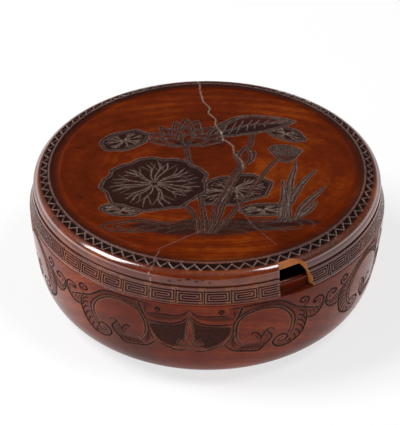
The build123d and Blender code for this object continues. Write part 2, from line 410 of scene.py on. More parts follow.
def beltCarving(angles, z):
    # Angles fold about each swag and half way between two, so one half repeat is drawn and mirrored
    c = carvedBelt
    away = np.degrees(angles) - c["swagTurn"]
    away = np.abs((away + 180) % 360 - 180)
    half, backHalf = c["frontPitch"] / 2, (180 - c["frontPitch"]) / 2
    front = half - np.abs(half - away)
    back = (backHalf - np.abs(backHalf - (away - c["frontPitch"]))) * half / backHalf
    fold = np.where(away < c["frontPitch"], front, back)
    sway = c["sway"]
    x = fold * c["perDegree"] + sway * np.sin(9 * angles + z / 6) + sway * np.sin(23 * angles - z / 4)
    y = z + sway * np.sin(14 * angles + z / 7) + sway * np.sin(31 * angles)
    board = newBoard(x, y)
    k = c["perDegree"]

    def path(*points):
        return smoothPath([(a * k, h) for a, h in points])

    def groove(cut, *points, burr=0.0):
        # Cut holds width and depth, then stain and tips where they aren't the usual ones
        cutLine(board, path(*points), *cut, burr=burr)

    # Dark field of the swag, its spear, and the drapery above
    field = path((0.5, -10.5), (1.6, -14.5), (3.4, -17.4), (6.2, -18.9), (9.4, -19.6), (12.0, -20.4),
                 (11.9, -25.5), (10.8, -31.0), (9.2, -36.2), (7.0, -40.2), (5.0, -41.2), (3.5, -39.8),
                 (3.9, -36.8), (2.6, -34.2), (1.5, -33.0), (1.1, -27.0), (0.6, -18.0))
    sinkArea(board, field, 0.75, 0.95, 1.1, 0.75)
    drape = path((0.2, -4.2), (1.8, -7.6), (3.8, -9.4), (6.4, -9.9), (9.4, -9.4), (12.6, -10.6),
                 (12.6, -13.0), (9.0, -14.4), (5.6, -14.0), (3.2, -12.6), (1.4, -10.0), (0.3, -6.4))
    sinkArea(board, drape, 0.3, 0.5, 1.2)
    groove((1.0, 0.55, 0.9), (0, -3.2), (1.6, -7.4), (3.7, -9.4), (6.3, -10.0), (9.2, -9.6), (12.4, -10.4))
    groove((1.1, 0.6), (0.1, -8.2), (1.3, -12.2), (3.2, -16.0), (5.9, -17.9), (9.6, -18.4), (13.2, -17.4))
    groove((0.9, 0.5, 0.9), (0.25, -6.0), (0.5, -16.0), (0.95, -25.0), (1.5, -32.0), burr=0.7)
    raiseLine(board, path((0.5, -12), (0.85, -21.0), (1.45, -31.0)), 0.8, 0.25, 0.7)
    for shift in (0.0, 1.5):
        pleat = path((12.6, -12.0 - shift), (9.4, -12.6 - shift), (6.4, -12.8 - shift), (4.2, -11.6 - shift))
        cutLine(board, pleat, 0.6, 0.25, 0.5, (0.2, 0.1))
    # Bulbs at the spear's foot and the double line under the field
    turn = np.linspace(0, 2 * math.pi, 25)
    bulb = np.stack([2.35 * k + 3.2 * np.cos(turn), -37.0 + 3.1 * np.sin(turn)], -1)
    cutLine(board, bulb, 1.0, 0.6, 1.0, (1, 1), burr=0.8)
    cutLine(board, bulb * 0.55 + np.array([2.35 * k, -37.0]) * 0.45, 0.6, 0.25, 0.5, (1, 1))
    groove((1.2, 0.65), (0, -41.8), (1.7, -44.2), (4.1, -44.9), (7.0, -42.4), (9.2, -39.4), (10.6, -37.6),
           burr=0.6)
    groove((0.7, 0.35, 0.7), (3.4, -41.6), (5.4, -42.3), (7.8, -39.6), (9.8, -36.0), (11.4, -31.0), burr=0.8)
    groove((1.1, 0.6, 0.9), (12.9, -18.6), (12.9, -24.0), (12.0, -31.0), (10.5, -37.8), burr=0.5)
    groove((0.9, 0.55), (9.9, -8.2), (9.2, -7.4), (8.6, -5.6), (9.2, -3.8), (10.1, -4.6), (9.6, -5.9))
    sinkArea(board, path((8.8, -4.0), (10.1, -4.2), (10.2, -6.6), (8.9, -7.0)), 0.4, 0.8)

    # Scroll: a stained band between the rolled inner line and the outer line, with a groove beside the inner
    inner = ((15.6, -39.2), (14.2, -34.4), (13.6, -26.5), (14.1, -18.0), (16.0, -11.4), (18.9, -7.5),
             (22.2, -6.3), (25.6, -7.8), (28.6, -12.4), (30.6, -19.0), (31.4, -26.0), (31.1, -33.0),
             (30.2, -38.6))
    outer = ((11.4, -2.6), (15.6, -1.9), (20.0, -1.5), (24.0, -1.7), (27.0, -3.2), (29.6, -7.0),
             (31.9, -11.6), (34.2, -15.4), (35.6, -17.4))
    second = ((14.4, -39.4), (13.1, -34.4), (12.6, -26.4), (13.1, -17.4), (15.2, -10.2), (18.5, -5.9),
              (22.2, -4.7), (26.2, -6.3), (29.5, -11.5), (31.7, -18.6), (32.5, -26.0), (32.2, -33.2),
              (31.2, -39.6), (30.0, -44.0))
    band = np.vstack([path(*second[4:11]), path((33.8, -18.0), *outer[::-1], (12.6, -8.0))])
    sinkArea(board, band, 0.3, 0.42, 1.4, 0.4)
    limbGround = path((33.0, -17.5), (35.4, -17.6), (36.3, -22.0), (36.5, -29.0), (35.9, -36.0),
                      (34.6, -43.0), (32.0, -48.0), (29.2, -46.0), (31.4, -39.6), (32.4, -33.2),
                      (32.7, -26.0))
    sinkArea(board, limbGround, 0.2, 0.28, 1.5)
    groove((1.3, 0.75, 1.0, (0.6, 0.8)), *inner, burr=0.7)
    groove((1.1, 0.6, 0.95, (0.5, 0.5)), *second)
    groove((1.3, 0.7, 1.0, (0.4, 0.8)), *outer)
    groove((1.7, 0.7, 1.0, (0.9, 0.1)), (15.3, -3.0), (15.0, -7.0), (14.3, -11.5), (13.6, -15.0), burr=0.4)
    groove((0.9, 0.4, 0.8, (0.8, 0.2)), (13.0, -3.2), (13.4, -8.0), (13.3, -12.6))
    groove((0.7, 0.3, 0.6, (0.1, 0.1)), (16.6, -8.4), (19.6, -4.2), (23.4, -3.4), (26.8, -5.2), (29.4, -9.4))

    # Leafy limb: outer line, rolled foot and slanting cuts
    groove((1.5, 0.85, 1.0, (0.7, 0.4)), (35.3, -16.8), (36.5, -22.0), (36.7, -29.0), (36.1, -36.0),
           (34.8, -43.0), (32.0, -48.4), (29.0, -50.0), (27.0, -48.4), (25.8, -45.0), (25.7, -41.4),
           (26.8, -38.0), (28.6, -37.0), (30.1, -38.8), (30.2, -42.0), (29.0, -44.4), (27.6, -43.4),
           (27.5, -41.2), (28.5, -40.2), (29.1, -41.4), burr=0.35)
    for top, foot in (((33.0, -17.5), (36.0, -23.5)), ((33.1, -21.5), (36.4, -28.8)),
                      ((33.2, -26.0), (36.3, -33.8)), ((33.1, -30.6), (35.7, -38.6)),
                      ((32.5, -35.4), (34.7, -43.2)), ((31.8, -40.2), (33.2, -46.6)),
                      ((30.8, -44.2), (31.2, -48.6))):
        belly = (0.5 * (top[0] + foot[0]) + 0.35, 0.5 * (top[1] + foot[1]) + 1.5)
        groove((1.2, 0.55, 0.95, (0.15, 0.7)), top, belly, foot)
    groove((0.6, 0.25, 0.6, (0.1, 0.1)), (28.8, -47.6), (27.4, -46.0), (26.9, -43.0))
    groove((0.7, 0.3, 0.7, (0.1, 0.1)), (31.6, -45.4), (29.4, -47.2), (27.8, -46.4))

    # Forked leaf that rises inside the scroll from its foot
    leaf = path((15.6, -39.4), (18.0, -39.2), (20.4, -38.8), (21.2, -36.0), (20.6, -32.4), (19.8, -30.2),
                (20.6, -29.8), (21.6, -33.0), (22.6, -28.8), (23.4, -27.4), (23.9, -30.6), (24.8, -34.2),
                (24.4, -38.4), (23.0, -43.2), (21.6, -47.6), (17.4, -46.4), (14.4, -45.0), (13.4, -41.6))
    sinkArea(board, leaf, 0.3, 0.42, 1.3, 0.5)
    groove((1.4, 0.8, 1.0, (0.5, 0.8)), (25.3, -30.4), (25.4, -28.2), (24.4, -26.7), (23.3, -27.6),
           (23.6, -30.4), (24.8, -34.2), (24.5, -38.4), (23.0, -43.0), (21.9, -47.2), (20.5, -48.6),
           (17.0, -47.0), (14.0, -45.4), (12.0, -42.0), (10.5, -38.0), burr=0.35)
    groove((1.0, 0.5, 1.0, (0.3, 0.5)), (21.0, -38.4), (21.3, -35.4), (22.0, -31.8), (22.8, -28.2),
           (23.6, -27.4))
    groove((1.2, 0.6), (21.4, -35.0), (20.7, -31.2), (20.2, -29.4), (19.3, -28.8), (18.6, -29.9),
           (18.8, -31.4))
    groove((0.8, 0.4, 0.9, (0.3, 0.1)), (20.9, -37.6), (20.2, -34.2), (19.5, -31.2))
    for shift in (-2.4, -1.0, 0.4, 1.8, 3.2, 4.4):
        foot, tip = (16.6 + shift, -45.4 - shift * 0.4), (18.8 + shift * 0.85, -40.2)
        groove((0.9, 0.4, 0.9, (0.1, 0.1)), foot, (18.0 + shift, -43.0), tip)
    for shift in (0.0, 0.75, 1.5):
        groove((0.7, 0.3, 0.7, (0.1, 0.2)), (13.2 - shift * 0.5, -27.0 - shift),
               (13.0 - shift * 0.6, -34.0), (13.6 - shift * 0.2, -42.5 + shift))

    # Stalk with rolled buds on top and a leafy swell below, between the scrolls
    stalk = path((34.6, -15.6), (37.0, -18.6), (40.0, -22.2), (42.0, -22.0), (43.4, -17.0), (43.4, -19.0),
                 (42.2, -25.0), (40.4, -28.4), (38.3, -29.0), (36.6, -26.6), (35.8, -20.0))
    sinkArea(board, stalk, 0.2, 0.3, 1.2)
    groove((1.2, 0.65), (32.6, -12.2), (34.8, -15.4), (37.2, -18.6), (39.6, -21.6), (41.4, -22.4),
           (42.6, -19.8), (43.3, -16.6), burr=0.3)
    groove((1.4, 0.75), (36.5, -25.8), (37.2, -28.0), (38.6, -29.2), (40.5, -28.2), (42.0, -24.6),
           (42.9, -19.6), (43.3, -17.2), burr=0.3)
    groove((1.3, 0.75, 1.0, (0.5, 0.6)), (34.9, -14.8), (36.3, -12.0), (36.6, -8.6), (35.5, -6.2),
           (34.0, -7.0), (33.7, -9.6), (34.8, -11.2), (35.6, -9.9), (35.1, -8.7))
    groove((1.3, 0.75, 1.0, (0.9, 0.5)), (39.2, -15.0), (38.5, -13.6), (39.4, -11.9), (41.0, -11.6),
           (42.3, -13.6), (42.6, -17.4), (41.6, -20.6))
    groove((1.2, 0.6, 1.0, (0.9, 0.9)), (40.3, -14.6), (39.4, -16.2), (38.5, -15.4), (38.6, -13.8))
    groove((0.9, 0.45, 0.9, (0.4, 0.1)), (40.8, -14.0), (41.3, -16.6), (40.6, -19.2))
    for top, foot in (((36.8, -20.0), (38.2, -26.4)), ((38.4, -21.8), (39.6, -26.8)),
                      ((40.0, -23.2), (40.9, -26.0))):
        middle = (0.5 * (top[0] + foot[0]) + 0.2, 0.5 * (top[1] + foot[1]) + 0.6)
        groove((0.9, 0.4, 0.8, (0.2, 0.3)), top, middle, foot)
    return board


def makeBelt(name, firstTurn, lastTurn, finish):
    b = baseShape
    z = np.arange(b["waistHeight"], -b["arris"] + 1e-6, b["beltStep"])
    z[-1] = -b["arris"]
    outside = np.stack([bellyRadiusAt(z), z], -1)
    innerZ = np.array([-b["arris"], b["floor"] + b["cavityCorner"], b["innerStep"], b["waistHeight"]])
    inside = np.stack([cavityRadiusAt(innerZ), innerZ], -1)
    angles = np.radians(np.linspace(firstTurn, lastTurn, b["beltColumns"]))
    board = beltCarving(angles[None, :], z[:, None])
    shape = board["shape"]
    height = board["height"].reshape(shape)
    depth = np.clip(-height, 0, b["beltCutLimit"])
    points = np.vstack([sweep(outside, angles, depth), sweep(inside, angles)])
    rows, cols = points.shape[:2]
    quads, rowOf = gridQuads(rows, cols, True, False)
    plain = np.zeros((len(inside), cols))
    values = {key: np.vstack([board[key].reshape(shape), plain]) for key in ("stain", "wear")}
    faceSets = [(quads, np.where(rowOf < len(outside) - 1, 0, 1)), (capRing(rows, cols), 1)]
    return makePiece(name, points.reshape(-1, 3), faceSets, [finish["lacquer"], finish["bare"]], "base",
                     values)


def makeRim(finish):
    b = baseShape
    # Rounded edge of the belly, ledge, rim with its crown, and the wall inside
    top, arris = bellyRadiusAt(-b["arris"]), b["arris"]
    rim, shoulder, wall, soft = b["rimOuterRadius"], b["rimShoulder"], b["cavityRadius"], b["rimFootRound"]
    outside = joinRuns(
        bend((top, -arris), (top, 0), (top - arris, 0), 4),
        stretch((top - arris, 0), (rim + soft, 0), 5),
        bend((rim + soft, 0), (rim, 0), (rim, soft), 3),
        stretch((rim, soft), (rim, shoulder), 6),
        crown((rim, shoulder), (wall, shoulder), b["rimCrown"], 13),
        stretch((wall, shoulder), (wall, -arris), 4),
    )
    points = sweep(outside, fullTurn(b["columns"]))
    rows, cols = points.shape[:2]
    quads, rowOf = gridQuads(rows, cols)
    values = {key: np.zeros((rows, cols)) for key in ("stain", "wear")}
    ledge = slice(4, 11)
    values["stain"][ledge] = b["rimStain"]
    return makePiece("baseRim", points.reshape(-1, 3), [(quads, np.where(rowOf > rows - 6, 1, 0))],
                     [finish["lacquer"], finish["bare"]], "base", values)


def makeBowl(finish):
    b = baseShape
    lean = math.asin(bellyFall / bellyCurve)
    foot, under, ring = b["footHeight"], b["recessHeight"], b["footRadius"]
    table, soft, steps = foot - b["footStep"], b["footRound"], b["turnSteps"]
    turnStart = foot + b["turnSag"]
    turnCorner = (b["waistRadius"] - (b["waistHeight"] - turnStart) * math.tan(lean), turnStart)
    land = ring - b["landWidth"]
    flat = land - b["recessRun"]
    outside = joinRuns(
        stretch((b["centreRadius"], under), (flat, under), 8),
        bend((flat, under), (land - b["recessRun"] / 2, under), (land, table), 9),
        stretch((land, table), (ring - soft, table), 4),
        bend((ring - soft, table), (ring, table), (ring, table + soft), 3),
        stretch((ring, table + soft), (ring, foot), 3),
        stretch((ring, foot), (b["undersideRadius"], foot), 3),
        bend((b["undersideRadius"], foot), turnCorner, (b["waistRadius"], b["waistHeight"]), steps),
    )
    dropped = b["waistHeight"] - (b["floor"] + b["cavityCorner"])
    startAngle = math.asin(-dropped / b["cavityCorner"])
    arc = np.linspace(startAngle, math.pi / 2, 18)
    inside = np.stack([b["cavityRadius"] - b["cavityCorner"] * (1 - np.cos(arc)),
                       b["floor"] + b["cavityCorner"] * (1 - np.sin(arc))], -1)
    cornerFoot = (b["cavityRadius"] - b["cavityCorner"], b["floor"])
    inside = joinRuns(inside, stretch(cornerFoot, (b["centreRadius"], b["floor"]), 8))
    profile = np.vstack([outside, inside])
    grid = sweep(profile, fullTurn(b["columns"]))
    rows, cols = grid.shape[:2]
    middles = [[0, 0, under], [0, 0, b["floor"]]]
    points = np.vstack([grid.reshape(-1, 3), middles])
    quads, rowOf = gridQuads(rows, cols, False, True)
    j = np.arange(cols)
    nextJ = (j + 1) % cols
    last = (rows - 1) * cols
    fans = np.vstack([np.stack([np.full(cols, rows * cols), nextJ, j], -1),
                      np.stack([last + j, last + nextJ, np.full(cols, rows * cols + 1)], -1)])
    turnRows = len(outside) - steps
    quadMaterial = np.where(rowOf < turnRows - 4, 1, np.where(rowOf < len(outside) - 1, 0, 1))
    # The polish thins out below the belt, down to the foot
    fall = (b["waistHeight"] - profile[:, 1]) / (b["waistHeight"] - foot)
    thin = b["thinPolish"] * np.clip(fall, 0, 1)
    plain = np.zeros(len(points))
    values = {"stain": plain, "wear": plain, "dull": np.append(np.repeat(thin, cols), np.zeros(len(middles)))}
    return makePiece("baseBowl", points, [(quads, quadMaterial), (fans, 1)],
                     [finish["lacquer"], finish["bare"]], "base", values)


# The lid: carved panel, sloping ring with its zigzag, shoulder, and a skirt with the fret band

lidShape = {
    "panelHeight": 26.3,
    "underside": 18.5,
    "skirtInner": boxRadius - 6.0,
    "corner": 8.0,
    "coveEdge": boxRadius - 25.8,
    "coveWidth": 8.0,
    "coveDepth": 1.2,
    "beadWidth": 1.4,
    "beadCrown": 0.42,
    "ringSplit": boxRadius - 10.0,    # where the carved ring's mesh meets the shoulder's
    "ringOuter": (boxRadius - 9.0, 24.2),
    "bullnoseBend": (boxRadius - 2.7, 21.5),
    "bullnoseFoot": (boxRadius - 4.7, 13.9),
    "fretHead": (boxRadius - 3.7, 13.5),
    "fretFoot": (boxRadius - 1.0, 1.6),
    "seamBend": (boxRadius - 0.1, 0.8),
    "seamEdge": (boxRadius - 0.7, 0.0),
    "bodyJoint": 0.76,       # how far inside the skirt's inner wall the shoulder's mesh meets the skirt's
    "seamRound": 0.4,
    "columns": 720,
}

ringInner = lidShape["coveEdge"] + lidShape["coveWidth"] + lidShape["beadWidth"]
ringFall = (lidShape["panelHeight"] - lidShape["ringOuter"][1]) / (lidShape["ringOuter"][0] - ringInner)
splitHeight = lidShape["panelHeight"] - ringFall * (lidShape["ringSplit"] - ringInner)


def cornerHeightAt(radius):
    # Inside of the lid: flat, then a quarter circle down to the skirt's inner wall
    s = lidShape
    centre = s["skirtInner"] - s["corner"]
    past = np.clip(radius - centre, 0, s["corner"])
    return s["underside"] - s["corner"] + np.sqrt(s["corner"] ** 2 - past**2)


notchShape = {
    "back": boxRadius - 10.0,         # its flat back, this far in front of the middle
    # Left end at the back, and how much further out it lies one run in front
    "left": (-12.8, -1.4),
    "right": (11.0, 3.4),
    "archStart": (-2.0, 6.8),
    "archRadius": 7.5,
    "top": 24.48,
    "low": -1.0,
    "high": 30.0,
    "run": 10.0,
    "reach": 14.0,
}


def makeNotchCutter(finish):
    # The same outline at the back and in front, where it is wider, joined by straight lines
    n = notchShape
    front = n["reach"] / n["run"]
    arc = np.linspace(0, math.pi / 2, 15)[:, None]
    outlines = []
    for widening, y in ((0.0, -n["back"]), (front, -n["back"] - n["reach"])):
        left, right, start = (n[key][0] + widening * n[key][1] for key in ("left", "right", "archStart"))
        arch = n["archRadius"] * np.hstack([np.cos(arc), np.sin(arc)])
        arch = np.array([start, n["top"] - n["archRadius"]]) + arch
        low, high = [[left, n["low"]], [right, n["low"]]], [[start, n["high"]], [left, n["high"]]]
        outline = np.vstack([low, arch, high])
        outlines.append(np.stack([outline[:, 0], np.full(len(outline), y), outline[:, 1]], -1))
    points = np.stack(outlines)
    rows, cols = points.shape[:2]
    quads = gridQuads(rows, cols, False, True)[0]
    ends = np.stack([np.arange(cols)[::-1], cols + np.arange(cols)])
    points = points.reshape(-1, 3) + np.array([0, 0, seamHeight])
    if enclosedVolume(points, [(quads, 0), (ends, 0)]) < 0:
        quads, ends = quads[:, ::-1], ends[:, ::-1]
    mesh = bpy.data.meshes.new("notchCutter")
    mesh.from_pydata((points * mm).tolist(), [], quads.tolist() + ends.tolist())
    for finishOf in finish:
        mesh.materials.append(finishOf)
    mesh.polygons.foreach_set("material_index", np.full(len(mesh.polygons), 1, np.int32))
    cutter = bpy.data.objects.new("notchCutter", mesh)
    bpy.context.scene.collection.objects.link(cutter)
    return cutter


def cutNotch(piece, cutter):
    # Takes the notch out of a finished piece and keeps the result as its mesh
    cut = piece.modifiers.new("notch", "BOOLEAN")
    cut.operation, cut.solver, cut.object = "DIFFERENCE", "EXACT", cutter
    bpy.context.view_layer.update()
    whole = piece.data
    made = bpy.data.meshes.new_from_object(piece.evaluated_get(bpy.context.evaluated_depsgraph_get()))
    piece.modifiers.clear()
    piece.data = made
    made.name = piece.name
    bpy.data.meshes.remove(whole)
    made.set_sharp_from_angle(angle=sharpAngle)
    print(piece.name, "notched:", len(made.polygons), "faces")


# Relief on the lid: a pond with lotus leaves, an open blossom, a bud, a seed pod, reeds and ripples

pondRelief = {
    # Places in mm from the middle, to the right and away as the photograph shows the lid
    "grid": (350, 268),
    "sway": 0.35,
    "cutLimit": 1.8,
    "edgeFade": 1.2,         # over which the carving fades out at the panel's edge
    "dullEdge": 3.5,         # over which the polish fades out there
    "water": ((-60, -80), (-44, -74), (-28, -77), (-12, -70), (6, -74), (24, -70), (40, -75), (58, -69),
              (76, -72), (84, -76), (66, -81), (46, -84), (26, -90), (4, -92), (-18, -92), (-40, -88),
              (-60, -80)),
    # Middle and half width of each ripple, and the part of the round that it covers
    "ripples": ((0, -90, 30, "arch"), (0, -90, 44, "arch"), (0, -90, 58, "arch"), (-52, -80, 16, "round"),
                (-52, -80, 25, "round"), (54, -78, 15, "round"), (54, -78, 24, "round")),
    # Middle, radius, waviness, waves, squash, tilt, veins, depth, phase
    "lowLeaves": (((20, -34), 30, 0.04, 7, 0.6, 18, 15, 0.5, 1.4),
                  ((-64, -60), 15, 0.04, 6, 0.45, -10, 9, 0.4, 0.6),
                  ((42, -60), 17, 0.04, 6, 0.42, 8, 9, 0.4, 2.2)),
    "leaves": (((-66, 34), 20, 0.03, 7, 0.62, 28, 11, 0.45, 2.0),
               ((64, 44), 17, 0.04, 6, 0.5, -34, 9, 0.45, 1.0),
               ((-40, -26), 40, 0.035, 9, 0.86, 12, 19, 0.5)),
    # Course and width
    "stems": ((((-6, -88), (-10, -66), (-22, -48), (-38, -32)), 3.0),
              (((2, -88), (8, -50), (22, -10), (34, 26), (38, 46)), 2.8),
              (((-1, -88), (-4, -52), (-10, -16), (-16, 18), (-17, 34)), 2.6),
              (((5, -88), (22, -58), (36, -30), (48, -4), (60, 12)), 2.4),
              (((3, -88), (12, -56), (20, -26), (28, -4)), 2.2)),
    # Foot, tip, width and lean
    "reeds": (((56, -74), (84, -8), 4.6, 4.0), ((60, -74), (70, 4), 4.2, 2.5),
              ((64, -72), (90, -30), 4.0, 2.0), ((52, -74), (58, -22), 3.8, -2.0),
              ((66, -70), (82, -50), 3.4, -1.5)),
    "heart": (-17.0, 30.0),
    # Direction in degrees, length and width, from the back to the front
    "petals": ((104, 36, 12), (76, 37, 12), (128, 33, 12), (52, 33, 12), (90, 39, 13), (152, 31, 11.5),
               (28, 31, 11.5), (172, 29, 10), (8, 29, 10), (116, 26, 12), (64, 26, 12), (90, 27, 14),
               (140, 24, 11), (40, 24, 11), (104, 17, 10), (76, 17, 10), (160, 19, 9), (20, 19, 9)),
    "budFoot": (30.0, 0.0),
    "budPetals": ((112, 19, 8), (68, 19, 8), (90, 24, 9)),
    # Foot, tip, width, lean and points of the folded leaf, its turned-up half and the blossom's cup
    "fold": ((2, 44), (72, 62), 26, 5.0, 40),
    "curl": ((8, 46), (70, 61), 13, 11.0, 30),
    "cup": ((-27, 31), (-7, 31), 6, -1.0),
    # Seed pod: middle of its top, then radius, waviness, waves, squash and tilt
    "podTop": (62, 20),
    "pod": (12.5, 0.015, 8, 0.5, -14),
    "funnel": ((50.5, 21), (54, 12), (59, 5), (63, 3), (67, 6), (71, 11), (74, 17.5)),
}

pondCuts = {
    # Depth, stain, slope and roughness of the grounds sunk
    "water": (0.45, 0.85, 3.0, 0.4),
    "reedGround": (0.1, 0.8, 1.2, 0.2),
    "foldGround": (0.5, 0.9, 2.4, 0.3),
    "cupGround": (0.3, 0.85),
    # Width, depth, stain and tips of the lines cut; width, height, wear and tips of those raised
    "ripple": (1.2, 0.4, 0.95, (0.2, 0.2)),
    "stemEdge": (0.9, 0.5, 1.0, (1, 1)),
    "stemMark": (0.7, 0.15, 0.8),
    "reed": (1.0, 0.6),
    "reedFold": (0.8, 0.2, 0.8, (0.5, 0.1)),
    "fold": (1.5, 0.8),
    "curl": (1.3, 0.7),
    "foldVein": (0.8, 0.3, 0.75, (1, 0.2)),
    "funnel": (1.4, 0.8, 1.0, (1, 1)),
    "pod": (1.3, 0.7, 1.0, (1, 1)),
    "seed": (1.0, 0.5, 1.0, (1, 1)),
    "rib": (0.7, 0.3, 0.8, (0.2, 0.2)),
    # Height, stain and wear of surfaces laid over what is behind them
    "funnelWood": (-0.35, 0.7, 0.1),
    "podWood": (-0.3, 0.75, 0.1),
}


def ringPath(centre, radius, wave=0.0, waves=5, squash=1.0, tilt=0.0, count=96, phase=0.0):
    # Closed wavy round: radius * (1 + wave * sin(waves * t)), flattened by squash and then turned by tilt
    t = np.linspace(0, 2 * math.pi, count)
    r = radius * (1 + wave * np.sin(waves * t + phase)
                  + 0.4 * wave * np.sin((2 * waves + 1) * t + 1.3 * phase))
    x, y = r * np.cos(t), squash * r * np.sin(t)
    a = math.radians(tilt)
    return np.stack([centre[0] + x * math.cos(a) - y * math.sin(a),
                     centre[1] + x * math.sin(a) + y * math.cos(a)], -1)


def petalPath(foot, tip, width, lean=0.0, count=22):
    # Pointed petal: half width = width/2 sin(pi t^0.85)^0.8, about a middle line bowed to one side by lean
    t = np.linspace(0, 1, count)
    along = np.array(tip, float) - np.array(foot, float)
    side = np.array([-along[1], along[0]]) / np.hypot(*along)
    spine = np.array(foot, float) + t[:, None] * along + (lean * np.sin(math.pi * t))[:, None] * side
    half = (0.5 * width * np.sin(math.pi * t**0.85) ** 0.8)[:, None] * side
    return np.vstack([spine + half, (spine - half)[-2:0:-1]]), spine


leafLook = {
    "ground": (0.9, 2.6, 0.3),        # stain, slope and roughness
    # Width, depth, stain and tips of the lines cut; width, height, wear and tips of the veins raised
    "rim": (1.5, 0.8, 1.0, (1, 1)),
    "inset": (0.7, 0.25, 0.9, (1, 1)),
    "eye": (0.9, 0.4, 1.0, (1, 1)),
    "vein": (0.8, 0.34, 1.0, (1, 0.3)),
    "fork": (0.6, 0.2, 0.7, (0.8, 0.2)),
}


def carveLeaf(board, centre, radius, wave, waves, squash, tilt, veins, depth, phase=0.0):
    # Big leaf: stained round with a raised wavy rim and pale veins that fork near the rim
    look = leafLook
    rim = ringPath(centre, radius, wave, waves, squash, tilt, phase=phase)
    clearArea(board, rim)
    sinkArea(board, rim, depth, *look["ground"])
    cutLine(board, rim, *look["rim"], burr=0.45)
    inset = ringPath(centre, radius * 0.93, wave, waves, squash, tilt, phase=phase)
    cutLine(board, inset, *look["inset"])
    a = math.radians(tilt)
    turn = np.array([[math.cos(a), math.sin(a)], [-math.sin(a), math.cos(a)]])

    def laid(line, t):
        # A line drawn along x, turned to its place round the leaf, squashed and tilted with it
        c, s = math.cos(t), math.sin(t)
        x, y = line[:, 0] * c - line[:, 1] * s, line[:, 0] * s + line[:, 1] * c
        return np.stack([x, squash * y], -1) @ turn + np.array(centre)

    for k in range(veins):
        t = 2 * math.pi * (k + 0.3 * math.sin(2.4 * k)) / veins
        reach = radius * (0.84 + 0.06 * math.sin(5 * k))
        ray = np.array([[0.09, 0], [0.35, 0.02], [0.7, -0.03], [1.0, 0.04]]) * reach
        raiseLine(board, smoothPath(laid(ray, t)), *look["vein"])
        for sign in (-1, 1):
            fork = np.array([[0.56, 0], [0.72, 0.09 * sign], [0.92, 0.2 * sign]]) * reach
            raiseLine(board, smoothPath(laid(fork, t)), *look["fork"])
    cutLine(board, ringPath(centre, radius * 0.07, 0, 1, squash, tilt, 20), *look["eye"])


petalLook = {
    "slope": 2.0,             # mm over which a petal rises from its edge
    "height": (-0.45, 0.25),  # at the edge, and what the middle gains
    "stain": (0.85, 0.65),    # at the edge, and what the middle loses
    "outline": (1.25, 0.75),
    "streaks": (-0.28, 0.0, 0.28),
    "streak": (0.55, 0.18, 0.6, (0.2, 0.1)),
}


def carvePetal(board, foot, tip, width, lean=0.0):
    # Wood-coloured petal with a deep outline and fine streaks along it
    look = petalLook
    outline, spine = petalPath(foot, tip, width, lean)
    at = insideOf(board, outline)
    near, gap = nearPath(board, np.vstack([outline, outline[:1]]), look["slope"])[:2]
    rise = np.full(len(board["x"]), 1.0)
    rise[near] = gap / look["slope"]
    (low, lift), (dark, paler) = look["height"], look["stain"]
    setArea(board, at, low + lift * rise[at], dark - paler * rise[at], 0.0)
    cutRound(board, outline, *look["outline"], burr=0.35)
    for share in look["streaks"]:
        line = spine + share * (outline[:len(spine)] - spine)
        cutLine(board, line[4:-4], *look["streak"])


